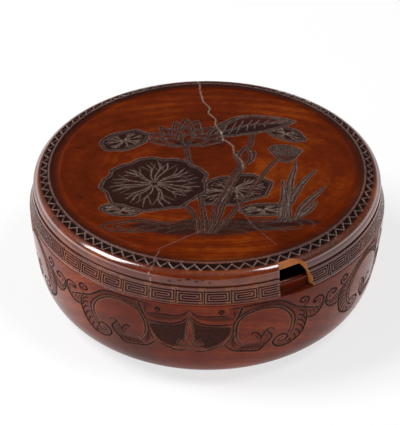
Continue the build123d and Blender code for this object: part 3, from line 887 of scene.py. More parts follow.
def pondCarving(x, y):
    p, cuts = pondRelief, pondCuts
    sway = p["sway"]
    board = newBoard(x + sway * np.sin(y / 5.1) + 0.5 * sway * np.sin(y / 2.3 + x / 9),
                     y + sway * np.sin(x / 6.3) + 0.5 * sway * np.sin(x / 2.9 - y / 7))
    # Dark water and ripples round the stems
    sinkArea(board, smoothPath(p["water"]), *cuts["water"])
    for k, (cx, cy, rx, part) in enumerate(p["ripples"]):
        start, end, count = (0.2, math.pi - 0.2, 30) if part == "arch" else (-0.4, 2 * math.pi - 0.9, 50)
        t = np.linspace(start, end, count)
        wave = np.stack([cx + rx * np.cos(t), cy + (0.28 * rx) * np.sin(t) + 0.5 * np.sin(3 * t + k)], -1)
        cutLine(board, wave, *cuts["ripple"], burr=0.2)
    # Low leaves behind the stems, then the stems, then the leaves that hide their ends
    for leaf in p["lowLeaves"]:
        carveLeaf(board, *leaf)
    for stem, width in p["stems"]:
        line = smoothPath(stem, 12)
        at, gap = nearPath(board, line, width * 0.5)[:2]
        roundness = np.sqrt(np.clip(1 - (2 * gap / width) ** 2, 0, 1))
        setArea(board, at, -0.5 + 0.45 * roundness, 0.5, 0.0)
        edge = sideways(line) * width * 0.5
        for sign in (-1, 1):
            cutLine(board, line + sign * edge, *cuts["stemEdge"], burr=0.3)
        for k in range(4, len(line) - 2, 3):
            mark = np.array([line[k] - 0.25 * edge[k], line[k] + 0.25 * edge[k]])
            cutLine(board, mark, *cuts["stemMark"])
    # Reeds on the right, drawn as long folded blades
    for foot, tip, width, lean in p["reeds"]:
        outline, spine = petalPath(foot, tip, width, lean)
        sinkArea(board, outline, *cuts["reedGround"])
        cutRound(board, outline, *cuts["reed"], burr=0.5)
        raiseLine(board, spine, *cuts["reedFold"])
    # Leaves: two smaller ones, one full round, and one seen from the side and folded
    for leaf in p["leaves"]:
        carveLeaf(board, *leaf)
    fold, spine = petalPath(*p["fold"])
    clearArea(board, fold)
    sinkArea(board, fold, *cuts["foldGround"])
    cutRound(board, fold, *cuts["fold"], burr=0.5)
    curl = petalPath(*p["curl"])[0]
    at = insideOf(board, curl)
    atLeast(board, "height", at, -0.55)
    board["stain"][at] = 0.7
    cutRound(board, curl, *cuts["curl"], burr=0.5)
    for k in range(9):
        t = 0.1 + 0.09 * k
        a = spine[int(t * len(spine))]
        for sign, span in ((-1, 11.0), (1, 8.0)):
            rise = sign * span * math.sin(math.pi * min(0.15 + t, 0.9)) + 1.5
            tip = a + np.array([3.0 * sign - 2 + k, rise])
            vein = smoothPath([a, 0.5 * (a + tip) + np.array([0.6, 0.2]), tip])
            raiseLine(board, vein, *cuts["foldVein"])
    # Open blossom: back petals first, then the sides, then the cup in front
    heart = np.array(p["heart"])
    for angle, length, width in p["petals"]:
        a = math.radians(angle)
        tip = heart + length * np.array([math.cos(a) * 1.05, math.sin(a) * 0.92])
        foot = heart - np.array([0, 3.0]) + 2.5 * np.array([math.cos(a), 0])
        carvePetal(board, foot, tip, width, 2.2 * math.cos(a))
    sinkArea(board, petalPath(*p["cup"])[0], *cuts["cupGround"])
    # Bud and seed pod
    foot = np.array(p["budFoot"])
    for angle, length, width in p["budPetals"]:
        a = math.radians(angle)
        tip = foot + length * np.array([math.cos(a), math.sin(a)])
        carvePetal(board, foot, tip, width, 1.2 * math.cos(a))
    podX, podY = p["podTop"]
    pod = ringPath(p["podTop"], *p["pod"])
    funnel = smoothPath(p["funnel"])
    at = insideOf(board, np.vstack([funnel, [(podX, podY + 2)]]))
    setArea(board, at, *cuts["funnelWood"])
    cutLine(board, funnel, *cuts["funnel"], burr=0.4)
    at = insideOf(board, pod)
    setArea(board, at, *cuts["podWood"])
    cutLine(board, pod, *cuts["pod"], burr=0.5)
    for k in range(8):
        t = 2 * math.pi * k / 7
        out = k < 7      # the last seed lies in the middle
        seat = (podX + 7.6 * math.cos(t) * out, podY + 3.5 * math.sin(t) * out - 1.6 * math.cos(t) * out)
        cutLine(board, ringPath(seat, 1.5, 0, 1, 0.7, 0, 14), *cuts["seed"], burr=0.5)
    for k in range(5):
        foot = (54 + 3.6 * k, 13.5 - 2.6 * math.sin(0.8 * k))
        rib = smoothPath([foot, (0.5 * (foot[0] + 63), 8.5), (61.6 + 0.5 * k, 4.6)])
        cutLine(board, rib, *cuts["rib"])
    return board


crackedPanel = {
    # Seen on the lid: course in mm to the right and away, width, depth, and how pale they are
    "splits": (
        (((-6, 114), (-4, 104), (-3, 94), (2, 84), (2, 76), (7, 66), (7, 57), (12, 46), (13, 37), (20, 27),
          (21, 17), (27, 6), (28, -6)), 1.1, 0.7, 0.95),
        (((19, -29), (22, -45), (25, -61), (31, -75), (41, -90), (50, -104)), 0.6, 0.3, 0.4),
        (((-2, -84), (-9, -89), (-24, -99), (-38, -109)), 0.7, 0.35, 0.48),
    ),
}


def makePanel(finish):
    # Square grid u, v from -1 to 1 drawn out to a disc: x = u sqrt(1 - v^2/2), y = v sqrt(1 - u^2/2)
    s = lidShape
    across, along = pondRelief["grid"]
    u, v = np.linspace(-1, 1, across + 1)[None, :], np.linspace(-1, 1, along + 1)[:, None]
    radius = s["coveEdge"]
    x, y = radius * u * np.sqrt(1 - v**2 / 2), radius * v * np.sqrt(1 - u**2 / 2)
    board = pondCarving(x, y)
    for course, width, depth, pale in crackedPanel["splits"]:
        at, gap = nearPath(board, smoothPath(course), width)[:2]
        cut = np.clip(1 - 2 * gap / width, 0, 1)
        board["height"][at] -= depth * cut
        shown = pale * np.clip(1.6 - 2 * gap / width, 0, 1)
        atLeast(board, "wear", at, shown)
        board["stain"][at] *= 1 - shown
    shape = board["shape"]
    toEdge = radius - np.hypot(x, y)
    height = np.clip(board["height"], -pondRelief["cutLimit"], 0).reshape(shape)
    edge = 1 - np.clip(toEdge / pondRelief["edgeFade"], 0, 1)
    height = height * (1 - edge)
    turn = math.radians(photoView["turn"])
    worldX, worldY = x * math.cos(turn) - y * math.sin(turn), x * math.sin(turn) + y * math.cos(turn)
    top = np.stack([worldX, worldY, s["panelHeight"] + height], -1)
    rows, cols = shape
    quads = gridQuads(rows, cols, False, False)[0]
    index = np.arange(rows * cols).reshape(shape)
    border = np.concatenate([index[0, :-1], index[:-1, -1], index[-1, :0:-1], index[:0:-1, 0]])
    below = top.reshape(-1, 3)[border].copy()
    below[:, 2] = s["underside"]
    lower = rows * cols + np.arange(len(border))
    middle = rows * cols + len(border)
    points = np.vstack([top.reshape(-1, 3), below, [[0, 0, s["underside"]]]])
    wall = np.stack([border, lower, np.roll(lower, -1), np.roll(border, -1)], -1)
    fan = np.stack([np.roll(lower, -1), lower, np.full(len(lower), middle)], -1)
    plain = np.zeros(len(border) + 1)
    values = {key: np.concatenate([board[key], plain]) for key in ("stain", "wear")}
    nearEdge = 1 - np.clip(toEdge / pondRelief["dullEdge"], 0, 1)
    values["dull"] = np.concatenate([np.sqrt(nearEdge).ravel(), plain])
    material = np.r_[np.zeros(len(quads), int), np.ones(len(wall), int)]
    faceSets = [(np.vstack([quads, wall]), material), (fan, 1)]
    return makePiece("lidPanel", points, faceSets, [finish["lidLacquer"], finish["bare"]], "lid",
                     values)


zigzag = {
    "teeth": 88,
    "perTooth": 16,
    "crest": 129.4,          # radii between which the ridge runs, and the middle one
    "root": 124.9,
    "middle": 127,
    "ridge": 0.26,
    "depth": 1.7,
    "turn": 0.35,
    # Amount, waves round the lid and phase, in teeth along the ring and in mm across it
    "toothDrift": ((0.05, 5, 0), (0.04, 17, 1)),
    "ridgeDrift": ((0.1, 11, 0), (0.08, 29, 2)),
    "margins": (0.35, 0.4),  # uncut at the outer and the inner edge
    "steepness": 1.25,
    "stain": (0.34, 1.35, 0.92),      # on uncut wood, more for each mm of depth, at most
    "shownWear": (0.47, 0.26),        # all round, and more on the side that faces the camera
    # Pale line along the bead: some wear, and a painted highlight
    "beadWearAndHighlight": 0.35,
}


def makeRing(finish):
    # Carved ring: a thin ridge in zigzag between two radii, with three-sided pits cut on both sides of it
    s, zz = lidShape, zigzag
    outer = (s["ringSplit"], splitHeight)
    slope = stretch(outer, (ringInner, s["panelHeight"]), 19)
    beadOuter, panelEdge = (ringInner, s["panelHeight"]), (s["coveEdge"], s["panelHeight"])
    beadInner = (ringInner - s["beadWidth"], s["panelHeight"])
    bead = crown(beadOuter, beadInner, s["beadCrown"], 7)
    cove = crown(beadInner, panelEdge, -s["coveDepth"], 11)
    cornerStart = s["skirtInner"] - s["corner"]
    arcRadius = np.linspace(cornerStart, s["ringSplit"], 5)
    arc = np.stack([arcRadius, cornerHeightAt(arcRadius)], -1)
    under = stretch((s["coveEdge"], s["underside"]), (cornerStart, s["underside"]), 3)
    profile = joinRuns(slope, bead, cove, under, arc)
    columns = zz["teeth"] * zz["perTooth"]
    angles = fullTurn(columns)
    tooth = zz["teeth"] * angles / (2 * math.pi) + zz["turn"] + drift(angles, zz["toothDrift"])
    wave = np.abs(2 * (tooth % 1) - 1)[None, :]
    radius = profile[:, :1]
    ridgeAt = zz["root"] + (zz["crest"] - zz["root"]) * wave + drift(angles, zz["ridgeDrift"])
    pitch = 2 * math.pi * zz["middle"] / zz["teeth"]
    lean = (zz["crest"] - zz["root"]) / (pitch / 2)
    fromRidge = np.abs(radius - ridgeAt) / math.sqrt(1 + lean**2) - zz["ridge"]
    fromEdge = np.minimum(s["ringSplit"] - zz["margins"][0] - radius, radius - ringInner - zz["margins"][1])
    pit = np.clip(np.minimum(fromRidge, fromEdge * 1.1) * zz["steepness"], 0, zz["depth"])
    onSlope = (np.arange(len(profile)) < len(slope) - 1)[:, None]
    depth = np.where(onSlope, pit, 0.0)
    onTop = profile[:, 1:] > s["underside"] + 1
    isBead = (radius < ringInner + 0.01) & (radius > ringInner - s["beadWidth"] - 0.01) & onTop
    isCove = (radius <= ringInner - s["beadWidth"]) & onTop
    fade = np.clip((radius - s["coveEdge"]) / s["coveWidth"], 0, 1) ** 1.6
    plain, perDepth, most = zz["stain"]
    stain = np.where(onSlope, np.clip(plain + perDepth * pit, 0, most), np.where(isCove, 0.95 * fade, 0.4))
    around, inFront = zz["shownWear"]
    shownWear = around + inFront * np.cos(angles - math.radians(photoView["turn"]))[None, :]
    onRidge = np.clip(1.1 - 3.6 * pit, 0, 1)
    slopeWear = shownWear * onRidge * np.clip(1.2 - np.abs(fromRidge), 0, 1)
    # On the bead the pale line is partly a painted highlight
    wear = np.where(onSlope, slopeWear, np.where(isBead & ~isCove, zz["beadWearAndHighlight"], 0.0))
    points = sweep(profile, angles, depth)
    rows = len(profile)
    quads, rowOf = gridQuads(rows, columns)
    visible = len(slope) + len(bead) + len(cove) - 3
    dull = np.where(isCove | isBead, 1.0, 0.0)
    pale = splitWear(angles[None, :], radius / 30) * (radius > s["coveEdge"]) * onTop
    wear, stain = np.maximum(wear, pale), stain * (1 - pale)
    whole = np.ones((1, columns))
    values = {"stain": stain * whole, "wear": wear * whole, "dull": dull * whole}
    return makePiece("lidRing", points.reshape(-1, 3), [(quads, np.where(rowOf < visible, 0, 1))],
                     [finish["lidLacquer"], finish["bare"]], "lid", values)


lidMarks = {
    # Degrees from the notch, and half width in degrees; the splits run from ring to seam
    "splits": ((-45.2, 0.14), (155.4, 0.4)),
    "notchEdge": ((-6.15, 0.16),),
    # Strength and spread of the stain at the bullnose's foot and head, and strength, place and spread of wear
    "footStain": (0.45, 0.10),
    "headStain": (0.35, 0.08),
    "headWear": (0.35, 0.8, 0.16),
    # Degrees, place as a share of the bullnose, half width in degrees and in share
    "chips": ((17.6, 0.97, 0.5, 0.10), (48.0, 0.6, 0.3, 0.05)),
    "dents": ((-33.5, 0.46, 0.7, 0.07), (-36.0, 0.38, 0.5, 0.06), (-31.0, 0.36, 0.5, 0.06),
              (-29.2, 0.44, 0.4, 0.05), (-39.0, 0.26, 0.5, 0.06), (-27.0, 0.3, 0.4, 0.04)),
}


def splitWear(angles, course, marks=lidMarks["splits"]):
    # Pale line down the lid's side where the wood has split, a little unsteady on its way
    degrees = (np.degrees(angles) + 180) % 360 - 180
    line = np.zeros(np.broadcast(angles, course).shape)
    for turn, half in marks:
        off = (degrees - turn - 0.3 * np.sin(9 * course) + 180) % 360 - 180
        line = np.maximum(line, np.exp(-((off / half) ** 2)))
    return line


def spots(angles, course, marks):
    # Soft round marks, each exp(-(degrees off / half)^2 - (share off / half)^2)
    degrees = (np.degrees(angles) + 180) % 360 - 180
    found = np.zeros(np.broadcast(angles, course).shape)
    for turn, share, half, tall in marks:
        found = np.maximum(found, np.exp(-(((degrees - turn) / half) ** 2) - ((course - share) / tall) ** 2))
    return found


def makeShoulder(finish, cutter):
    # Bullnose between the fret band and the carved ring, with the lid's inside corner under it
    s = lidShape
    foot, head = s["bullnoseFoot"], s["ringOuter"]
    outside = joinRuns(bend(foot, s["bullnoseBend"], head, 26),
                       stretch(head, (s["ringSplit"], splitHeight), 4))
    inner = np.linspace(s["ringSplit"], s["skirtInner"] - s["bodyJoint"], 9)
    inside = np.stack([inner, cornerHeightAt(inner)], -1)
    inside[-1, 1] = foot[1]
    profile = joinRuns(outside, inside)
    angles = fullTurn(s["columns"])
    points = sweep(profile, angles)
    rows, cols = points.shape[:2]
    quads, rowOf = gridQuads(rows, cols)
    reach = np.linspace(0, 1, len(outside))[:, None]
    stain, wear = np.zeros((rows, cols)), np.zeros((rows, cols))
    outer = slice(0, len(outside))
    (atFoot, footSpread), (atHead, headSpread) = lidMarks["footStain"], lidMarks["headStain"]
    footStain = atFoot * np.exp(-((reach / footSpread) ** 2))
    stain[outer] = footStain + atHead * np.exp(-(((reach - 1) / headSpread) ** 2))
    unevenly = 0.6 + 0.4 * np.sin(7 * angles) * np.sin(3 * angles + 1)
    strength, place, spread = lidMarks["headWear"]
    wear[outer] = strength * np.exp(-(((reach - place) / spread) ** 2)) * unevenly
    pale = np.maximum(splitWear(angles[None, :], reach), spots(angles[None, :], reach, lidMarks["chips"]))
    pale = np.maximum(pale, splitWear(angles[None, :], 0 * reach, lidMarks["notchEdge"]))
    wear[outer] = np.maximum(wear[outer], pale)
    stain[outer] = np.maximum(stain[outer] * (1 - pale), spots(angles[None, :], reach, lidMarks["dents"]))
    material = np.where(rowOf < len(outside) - 1, 0, 2)
    piece = makePiece("lidShoulder", points.reshape(-1, 3), [(quads, material)],
                      [finish["lidLacquer"], finish["cut"], finish["bare"]], "lid",
                      {"stain": stain, "wear": wear})
    cutNotch(piece, cutter)
    return piece


fretBand = {
    "units": 44,
    "turn": -4.2,            # degrees from the notch to one unit's edge
    "drift": ((0.10, 9, 0), (0.08, 23, 1)),
    "groove": 0.52,          # half width at the surface, and at the bottom, in mm
    "bottom": 0.24,
    "depth": 0.85,
    "bars": (2.6, 11.8),     # foot and head of the upright groove between two units
    "spareColumns": (7.5, 10.5),      # more columns and levels of the grid, where the groove has none
    "spareLevels": (2.5, 12.3),
    "wear": 0.14,
    "warm": 0.55,
    "warmBars": (17.0, 1.4, 1.3),     # middle and half width of one bar that shows it, and the other's width
    "pale": 0.7,             # how much of a split or of the notch's edge shows
    "front": (0.72, 0.2),    # cosine off the camera's view where the warm colour starts, and how fast it grows
    "stain": (0.16, 0.50),   # on the bars, and more in the groove
    "edgeStain": (0.8, 0.7),
    # Course of the groove in one unit, in mm from its left edge and up from the seam
    "course": ((0, 10.8), (18.0, 10.8), (18.0, 3.5), (2.2, 3.5), (2.2, 9.0), (16.0, 9.0), (16.0, 5.3),
               (4.5, 5.3), (4.5, 7.2), (13.5, 7.2)),
}


def fretDepth(x, z, unitWidth):
    # Distance in the square sense, max(|dx|, |dz|), to the groove's runs: flat bottom with steep sides
    f = fretBand
    course = list(f["course"])
    nearest = np.full(np.broadcast(x, z).shape, 9.0)
    foot, head = f["bars"]
    bars = [((0.0, foot), (0.0, head)), ((unitWidth, foot), (unitWidth, head))]
    runs = list(zip(course[:-1], course[1:])) + bars
    for (ax, az), (bx, bz) in runs:
        dx = np.maximum(np.maximum(min(ax, bx) - x, x - max(ax, bx)), 0)
        dz = np.maximum(np.maximum(min(az, bz) - z, z - max(az, bz)), 0)
        nearest = np.minimum(nearest, np.maximum(dx, dz))
    return np.clip((f["groove"] - nearest) / (f["groove"] - f["bottom"]), 0, 1)


def makeSkirt(finish, cutter):
    s, f = lidShape, fretBand
    unitWidth = 2 * math.pi * (boxRadius - 2) / f["units"]
    edges = np.array([-f["groove"], -f["bottom"], f["bottom"], f["groove"]])
    uprights = sorted({x for x, z in f["course"]})
    columnX = np.concatenate([x + edges for x in uprights])
    columnX = np.sort(np.append(columnX, f["spareColumns"]))
    unit = np.arange(f["units"])[:, None]
    bandX = (unit * unitWidth + columnX[None, :]).ravel()
    inUnit = np.broadcast_to(columnX[None, :], (f["units"], len(columnX))).ravel()
    angles = 2 * math.pi * bandX / (f["units"] * unitWidth) + math.radians(f["turn"])
    angles = angles + np.radians(drift(angles, f["drift"]))
    levels = sorted({z for x, z in f["course"]})
    bandZ = np.concatenate([[s["fretFoot"][1]], np.concatenate([z + edges for z in levels]),
                            [s["fretHead"][1]]])
    bandZ = np.sort(np.append(bandZ, f["spareLevels"]))
    lean = (s["fretHead"][0] - s["fretFoot"][0]) / (s["fretHead"][1] - s["fretFoot"][1])
    band = np.stack([s["fretFoot"][0] + lean * (bandZ - s["fretFoot"][1]), bandZ], -1)
    seam = bend(s["seamEdge"], s["seamBend"], s["fretFoot"], 7)
    innerZ = np.linspace(s["bullnoseFoot"][1], s["underside"] - s["corner"], 4)
    centre = s["skirtInner"] - s["corner"]
    rise = innerZ - s["underside"] + s["corner"]
    inner = np.stack([centre + np.sqrt(s["corner"] ** 2 - rise**2), innerZ], -1)
    seamEnd = [(s["skirtInner"], s["seamRound"]), (s["skirtInner"] + s["seamRound"], 0.0)]
    profile = joinRuns(seam, band, [s["bullnoseFoot"]], inner, seamEnd)
    rows = len(profile)
    grooves = fretDepth(inUnit[None, :], profile[:, 1:], unitWidth)
    onBand = (np.arange(rows) >= len(seam) - 1) & (np.arange(rows) < len(seam) - 1 + len(band))
    grooves = np.where(onBand[:, None], grooves, 0.0)
    hand = 1 + 0.25 * np.sin(13 * angles) * np.sin(5 * angles + 2)
    points = sweep(profile, angles, f["depth"] * grooves * hand)
    cols = points.shape[1]
    quads, rowOf = gridQuads(rows, cols)
    bars = (1 - grooves) * onBand[:, None]
    barMiddle, barHalf, barWidth = f["warmBars"]
    isUpright = (np.abs(inUnit - barMiddle) < barHalf) | (inUnit < barWidth)
    wear = bars * f["wear"] * (0.8 + 0.2 * np.sin(6 * angles + 1)[None, :])
    start, growth = f["front"]
    front = np.clip((np.cos(angles - math.radians(photoView["turn"]) + 0.1) - start) / growth, 0, 1)
    warm = bars * f["warm"] * isUpright[None, :] * front[None, :]
    plain, more = f["stain"]
    stain = np.where(onBand[:, None], plain + more * grooves, 0.0)
    pale = splitWear(angles[None, :], profile[:, 1:] / 30, lidMarks["splits"] + lidMarks["notchEdge"])
    pale = f["pale"] * pale * onBand[:, None]
    wear, stain = np.maximum(wear, pale), stain * (1 - f["pale"] * pale)
    outer = len(seam) + len(band)
    stain[len(seam) - 1], stain[outer - 1:outer + 1] = f["edgeStain"]
    material = np.where(rowOf < outer, 0, 2)
    piece = makePiece("lidSkirt", points.reshape(-1, 3), [(quads, material)],
                      [finish["lidLacquer"], finish["cut"], finish["bare"]], "lid",
                      {"stain": stain, "wear": wear, "warm": warm})
    cutNotch(piece, cutter)
    return piece


# Finishes

def linear(red, green, blue):
    # Colour as it is read off a screen, 0 to 255, to the linear scale that materials use
    c = np.array([red, green, blue]) / 255
    return (*np.where(c <= 0.04045, c / 12.92, ((c + 0.055) / 1.055) ** 2.4).tolist(), 1.0)


class Nodes:
    # Short hand for a node tree: add() makes a node, sets its inputs by name or number, gives its output
    def __init__(self, tree):
        self.tree = tree
        tree.nodes.clear()

    def add(self, kind, inputs=None, out=0, **settings):
        node = self.tree.nodes.new(kind)
        for key, value in settings.items():
            setattr(node, key, value)
        for key, value in (inputs or {}).items():
            if isinstance(value, bpy.types.NodeSocket):
                self.tree.links.new(value, node.inputs[key])
            else:
                node.inputs[key].default_value = value
        return node.outputs[out] if len(node.outputs) else node

    def photoPlace(self):
        # Place on the object in mm, with x to the right as the photograph shows it
        spin = (0, 0, math.radians(-photoView["turn"]))
        place = self.add("ShaderNodeTexCoord", out=3)
        return self.add("ShaderNodeMapping", {"Vector": place, "Rotation": spin, "Scale": (1 / mm,) * 3})

    def math(self, operation, a, b=0.0, c=0.0, clamp=False):
        return self.add("ShaderNodeMath", {0: a, 1: b, 2: c}, operation=operation, use_clamp=clamp)

    def vector(self, operation, a, b=(0.0, 0.0, 0.0), out=0):
        return self.add("ShaderNodeVectorMath", {0: a, 1: b}, out=out, operation=operation)

    def value(self, attribute):
        return self.add("ShaderNodeAttribute", out=2, attribute_name=attribute)

    def span(self, value, low, high, toLow=0.0, toHigh=1.0):
        ends = {"From Min": low, "From Max": high, "To Min": toLow, "To Max": toHigh}
        return self.add("ShaderNodeMapRange", {"Value": value, **ends})

    def mixColour(self, share, a, b, blend="MIX"):
        inputs = {"Factor": share, 6: a, 7: b}
        return self.add("ShaderNodeMix", inputs, out=2, data_type="RGBA", blend_type=blend)

    def stretched(self, vector, factors, scale, detail, roughness):
        # Noise drawn out along an axis whose factor is below 1, as fibres are
        return self.noise(self.vector("MULTIPLY", vector, factors), scale, detail, roughness)

    def noise(self, vector, scale, detail=3.0, roughness=0.5, distortion=0.0):
        inputs = {"Vector": vector, "Scale": scale, "Detail": detail, "Roughness": roughness}
        return self.add("ShaderNodeTexNoise", {**inputs, "Distortion": distortion})


def newMaterial(name):
    material = bpy.data.materials.new(name)
    material.use_nodes = True
    return material, Nodes(material.node_tree)


lacquerLid = {
    "dark": (52, 13, 1), "middle": (94, 30, 2), "light": (138, 62, 8),
    "ringCentre": (4, -8, -46), "ringStretch": (0.62, 1.0, 1.0), "bandWidth": 9.5, "fineWidth": 3.1,
    "lightHeart": (72, -18, 108),     # where the wood is lightest
    "stain": (22, 13, 12), "stainLight": (40, 27, 26), "wear": (136, 116, 106), "warm": (138, 82, 36),
    "roughness": (0.36, 0.48), "index": 1.45, "specular": 0.03,
    "coat": 1.0, "coatIndex": 1.6, "coatRoughness": 0.12,
    "sheen": 0.0, "sheenRoughness": 0.3, "sheenTint": (244, 222, 218),
    "bands": (0.46, 0.10, 0.06),      # middle shade, and what the wide and the fine growth rings add
    # Nearest and furthest from the lightest place, in mm, and what the shade gains there
    "glow": (10.0, 85.0, 0.26, -0.04),
}

lacquerBase = {
    **lacquerLid,
    "dark": (60, 13, 0), "middle": (98, 28, 0), "light": (134, 52, 2),
    "ringCentre": (10, 12, 30), "ringStretch": (0.55, 1.0, 1.2),
    "lightHeart": (30, -190, -10),
    "stain": (25, 14, 12), "stainLight": (60, 38, 34), "wear": (120, 86, 68),
    "specular": 0.04, "coatIndex": 1.23, "sheen": 0.07,
}


lacquerNoise = {
    # Stretch along the three axes, scale in 1/mm, detail and roughness
    "stir": ((0.35, 1.0, 1.0), 0.022, 4.0, 0.55),
    "fibre": ((0.07, 1.0, 1.0), 0.8, 4.0, 0.6),
    "patch": ((0.8, 1.0, 1.0), 0.016, 2.0, 0.5),
    "mottle": ((0.75, 1.0, 1.0), 0.16, 4.0, 0.65),
    "pores": ((0.10, 1.0, 1.0), 2.6, 2.0, 0.5),
}

lacquerMix = {
    "stirred": 14.0,         # mm that noise moves the growth rings
    "shade": (("fibre", 0.05), ("mottle", 0.12), ("patch", 0.28)),      # most that each adds or takes
    "grime": (0.55, 4.0, 0.65),
    "poreSpan": (0.60, 0.72, 0.0, 1.0),
    "poreDark": 0.12,
    "poreDepth": -0.3,
    "grimeHeight": 0.5,
    "bump": (0.25, 0.00015),
    "stainRough": 0.12,
}


def makeLacquer(name, look):
    # Growth rings: bands of distance from a point under the surface, unevenly stretched and stirred by noise
    material, n = newMaterial(name)
    turned = n.photoPlace()
    centre = tuple(np.array(look["ringCentre"]) * [-1, -1, -1] - np.array([0, 0, seamHeight + 26]))
    shifted = n.vector("ADD", turned, centre)
    far = n.vector("LENGTH", n.vector("MULTIPLY", shifted, look["ringStretch"]), out=1)
    mix = lacquerMix
    noise = {key: n.stretched(turned, *values) for key, values in lacquerNoise.items()}
    distance = n.math("MULTIPLY_ADD", noise["stir"], mix["stirred"], far)
    bands = n.math("SINE", n.math("MULTIPLY", distance, 2 * math.pi / look["bandWidth"]))
    fine = n.math("SINE", n.math("MULTIPLY", distance, 2 * math.pi / look["fineWidth"]))
    shown = n.span(noise["patch"], 0.35, 0.65, 0.25, 1.0)      # growth rings fade in and out
    middle, wide, narrow = look["bands"]
    shade = n.math("MULTIPLY_ADD", n.math("MULTIPLY", bands, shown), wide, middle)
    shade = n.math("MULTIPLY_ADD", n.math("MULTIPLY", fine, shown), narrow, shade)
    for key, most in mix["shade"]:
        shade = n.math("ADD", shade, n.span(noise[key], 0.3, 0.7, -most, most))
    fromGlow = n.vector("DISTANCE", turned, look["lightHeart"], out=1)
    shade = n.math("ADD", shade, n.span(fromGlow, *look["glow"]), clamp=True)
    lowHalf = n.mixColour(n.span(shade, 0.0, 0.5), linear(*look["dark"]), linear(*look["middle"]))
    wood = n.mixColour(n.span(shade, 0.5, 1.0), lowHalf, linear(*look["light"]))
    # Dark stain in the carving and pale wear on its edges, both broken up by a fine noise
    grime = n.noise(turned, *mix["grime"])
    stainShare = n.math("MULTIPLY", n.value("stain"), n.span(grime, 0.25, 0.7, 0.90, 1.25), clamp=True)
    wearShare = n.math("MULTIPLY", n.value("wear"), n.span(grime, 0.35, 0.62, 0.25, 1.0), clamp=True)
    stainColour = n.mixColour(n.span(grime, 0.35, 0.65), linear(*look["stain"]), linear(*look["stainLight"]))
    colour = n.mixColour(stainShare, wood, stainColour)
    colour = n.mixColour(wearShare, colour, linear(*look["wear"]))
    warmShare = n.math("MULTIPLY", n.value("warm"), n.span(grime, 0.3, 0.65, 0.4, 1.0))
    colour = n.mixColour(warmShare, colour, linear(*look["warm"]))
    pore = n.span(noise["pores"], *mix["poreSpan"])
    colour = n.mixColour(n.math("MULTIPLY", pore, mix["poreDark"]), colour, linear(*look["dark"]))
    height = n.math("MULTIPLY_ADD", pore, mix["poreDepth"], n.math("MULTIPLY", grime, mix["grimeHeight"]))
    strength, deep = mix["bump"]
    bump = n.add("ShaderNodeBump", {"Strength": strength, "Distance": deep, "Height": height})
    rough = n.span(grime, 0.3, 0.7, *look["roughness"])
    rough = n.math("MULTIPLY_ADD", stainShare, mix["stainRough"], rough)
    dull = n.math("MAXIMUM", stainShare, n.value("dull"))
    coat = n.math("MULTIPLY_ADD", dull, -look["coat"], look["coat"], clamp=True)      # the cuts have no gloss
    shader = n.add("ShaderNodeBsdfPrincipled", {
        "Base Color": colour,
        "Roughness": rough,
        "IOR": look["index"],
        "Specular IOR Level": look["specular"],
        "Coat Weight": coat,
        "Coat Roughness": look["coatRoughness"],
        "Coat IOR": look["coatIndex"],
        "Sheen Weight": look["sheen"],
        "Sheen Roughness": look["sheenRoughness"],
        "Sheen Tint": linear(*look["sheenTint"]),
        "Normal": bump,
    })
    n.add("ShaderNodeOutputMaterial", {"Surface": shader})
    return material


bareNoise = {
    # Stretch along the three axes, scale in 1/mm, detail and roughness
    "fibre": ((0.05, 1.0, 1.0), 0.7, 4.0, 0.6),
    "cloud": ((1.0, 1.0, 1.0), 0.012, 2.0, 0.5),
    "tooling": ((0.3, 0.3, 1.6), 1.2, 3.0, 0.6),
    "lines": ((1.0, 1.0, 1.0), 0.55, 3.0, 0.6),
}
bareLook = {"dark": (92, 58, 34), "light": (150, 104, 66)}
cutLook = {"dark": (142, 76, 32), "light": (202, 126, 64)}


def makeBareWood(name, look):
    # Unlacquered wood: fine turned lines round the axis and long fibres
    material, n = newMaterial(name)
    turned = n.photoPlace()
    fibre, cloud, tooling = (n.stretched(turned, *bareNoise[key]) for key in ("fibre", "cloud", "tooling"))
    fromAxis = n.vector("LENGTH", n.vector("MULTIPLY", turned, (1.0, 1.0, 0.0)), out=1)
    height = n.add("ShaderNodeSeparateXYZ", {"Vector": turned}, out=2)
    turning = n.add("ShaderNodeCombineXYZ", {"X": fromAxis, "Z": height})
    lines = n.stretched(turning, *bareNoise["lines"])
    grain = n.math("ADD", n.span(fibre, 0.3, 0.7, 0.25, 0.6), n.span(cloud, 0.3, 0.7, -0.06, 0.1))
    shade = n.math("ADD", grain, n.span(lines, 0.3, 0.7, -0.14, 0.14), clamp=True)
    colour = n.mixColour(shade, linear(*look["dark"]), linear(*look["light"]))
    bump = n.add("ShaderNodeBump", {"Strength": 0.4, "Distance": 0.0003, "Height": tooling})
    rough = n.span(cloud, 0.3, 0.7, 0.55, 0.72)
    inputs = {"Base Color": colour, "Roughness": rough, "IOR": 1.4, "Normal": bump}
    shader = n.add("ShaderNodeBsdfPrincipled", inputs)
    n.add("ShaderNodeOutputMaterial", {"Surface": shader})
    return material


finish = {
    "lidLacquer": makeLacquer("lidLacquer", lacquerLid),
    "lacquer": makeLacquer("baseLacquer", lacquerBase),
    "bare": makeBareWood("bareWood", bareLook),
    "cut": makeBareWood("cutWood", cutLook),
}
print("finishes made")

makeBelt("baseBeltFront", baseShape["beltMiddle"] - 90, baseShape["beltMiddle"] + 90, finish)
makeBelt("baseBeltBack", baseShape["beltMiddle"] + 90, baseShape["beltMiddle"] + 270, finish)
makeRim(finish)
makeBowl(finish)
cutter = makeNotchCutter([finish["lidLacquer"], finish["cut"]])
makePanel(finish)
makeRing(finish)
makeShoulder(finish, cutter)
makeSkirt(finish, cutter)
bpy.data.objects.remove(cutter)
print("box made")
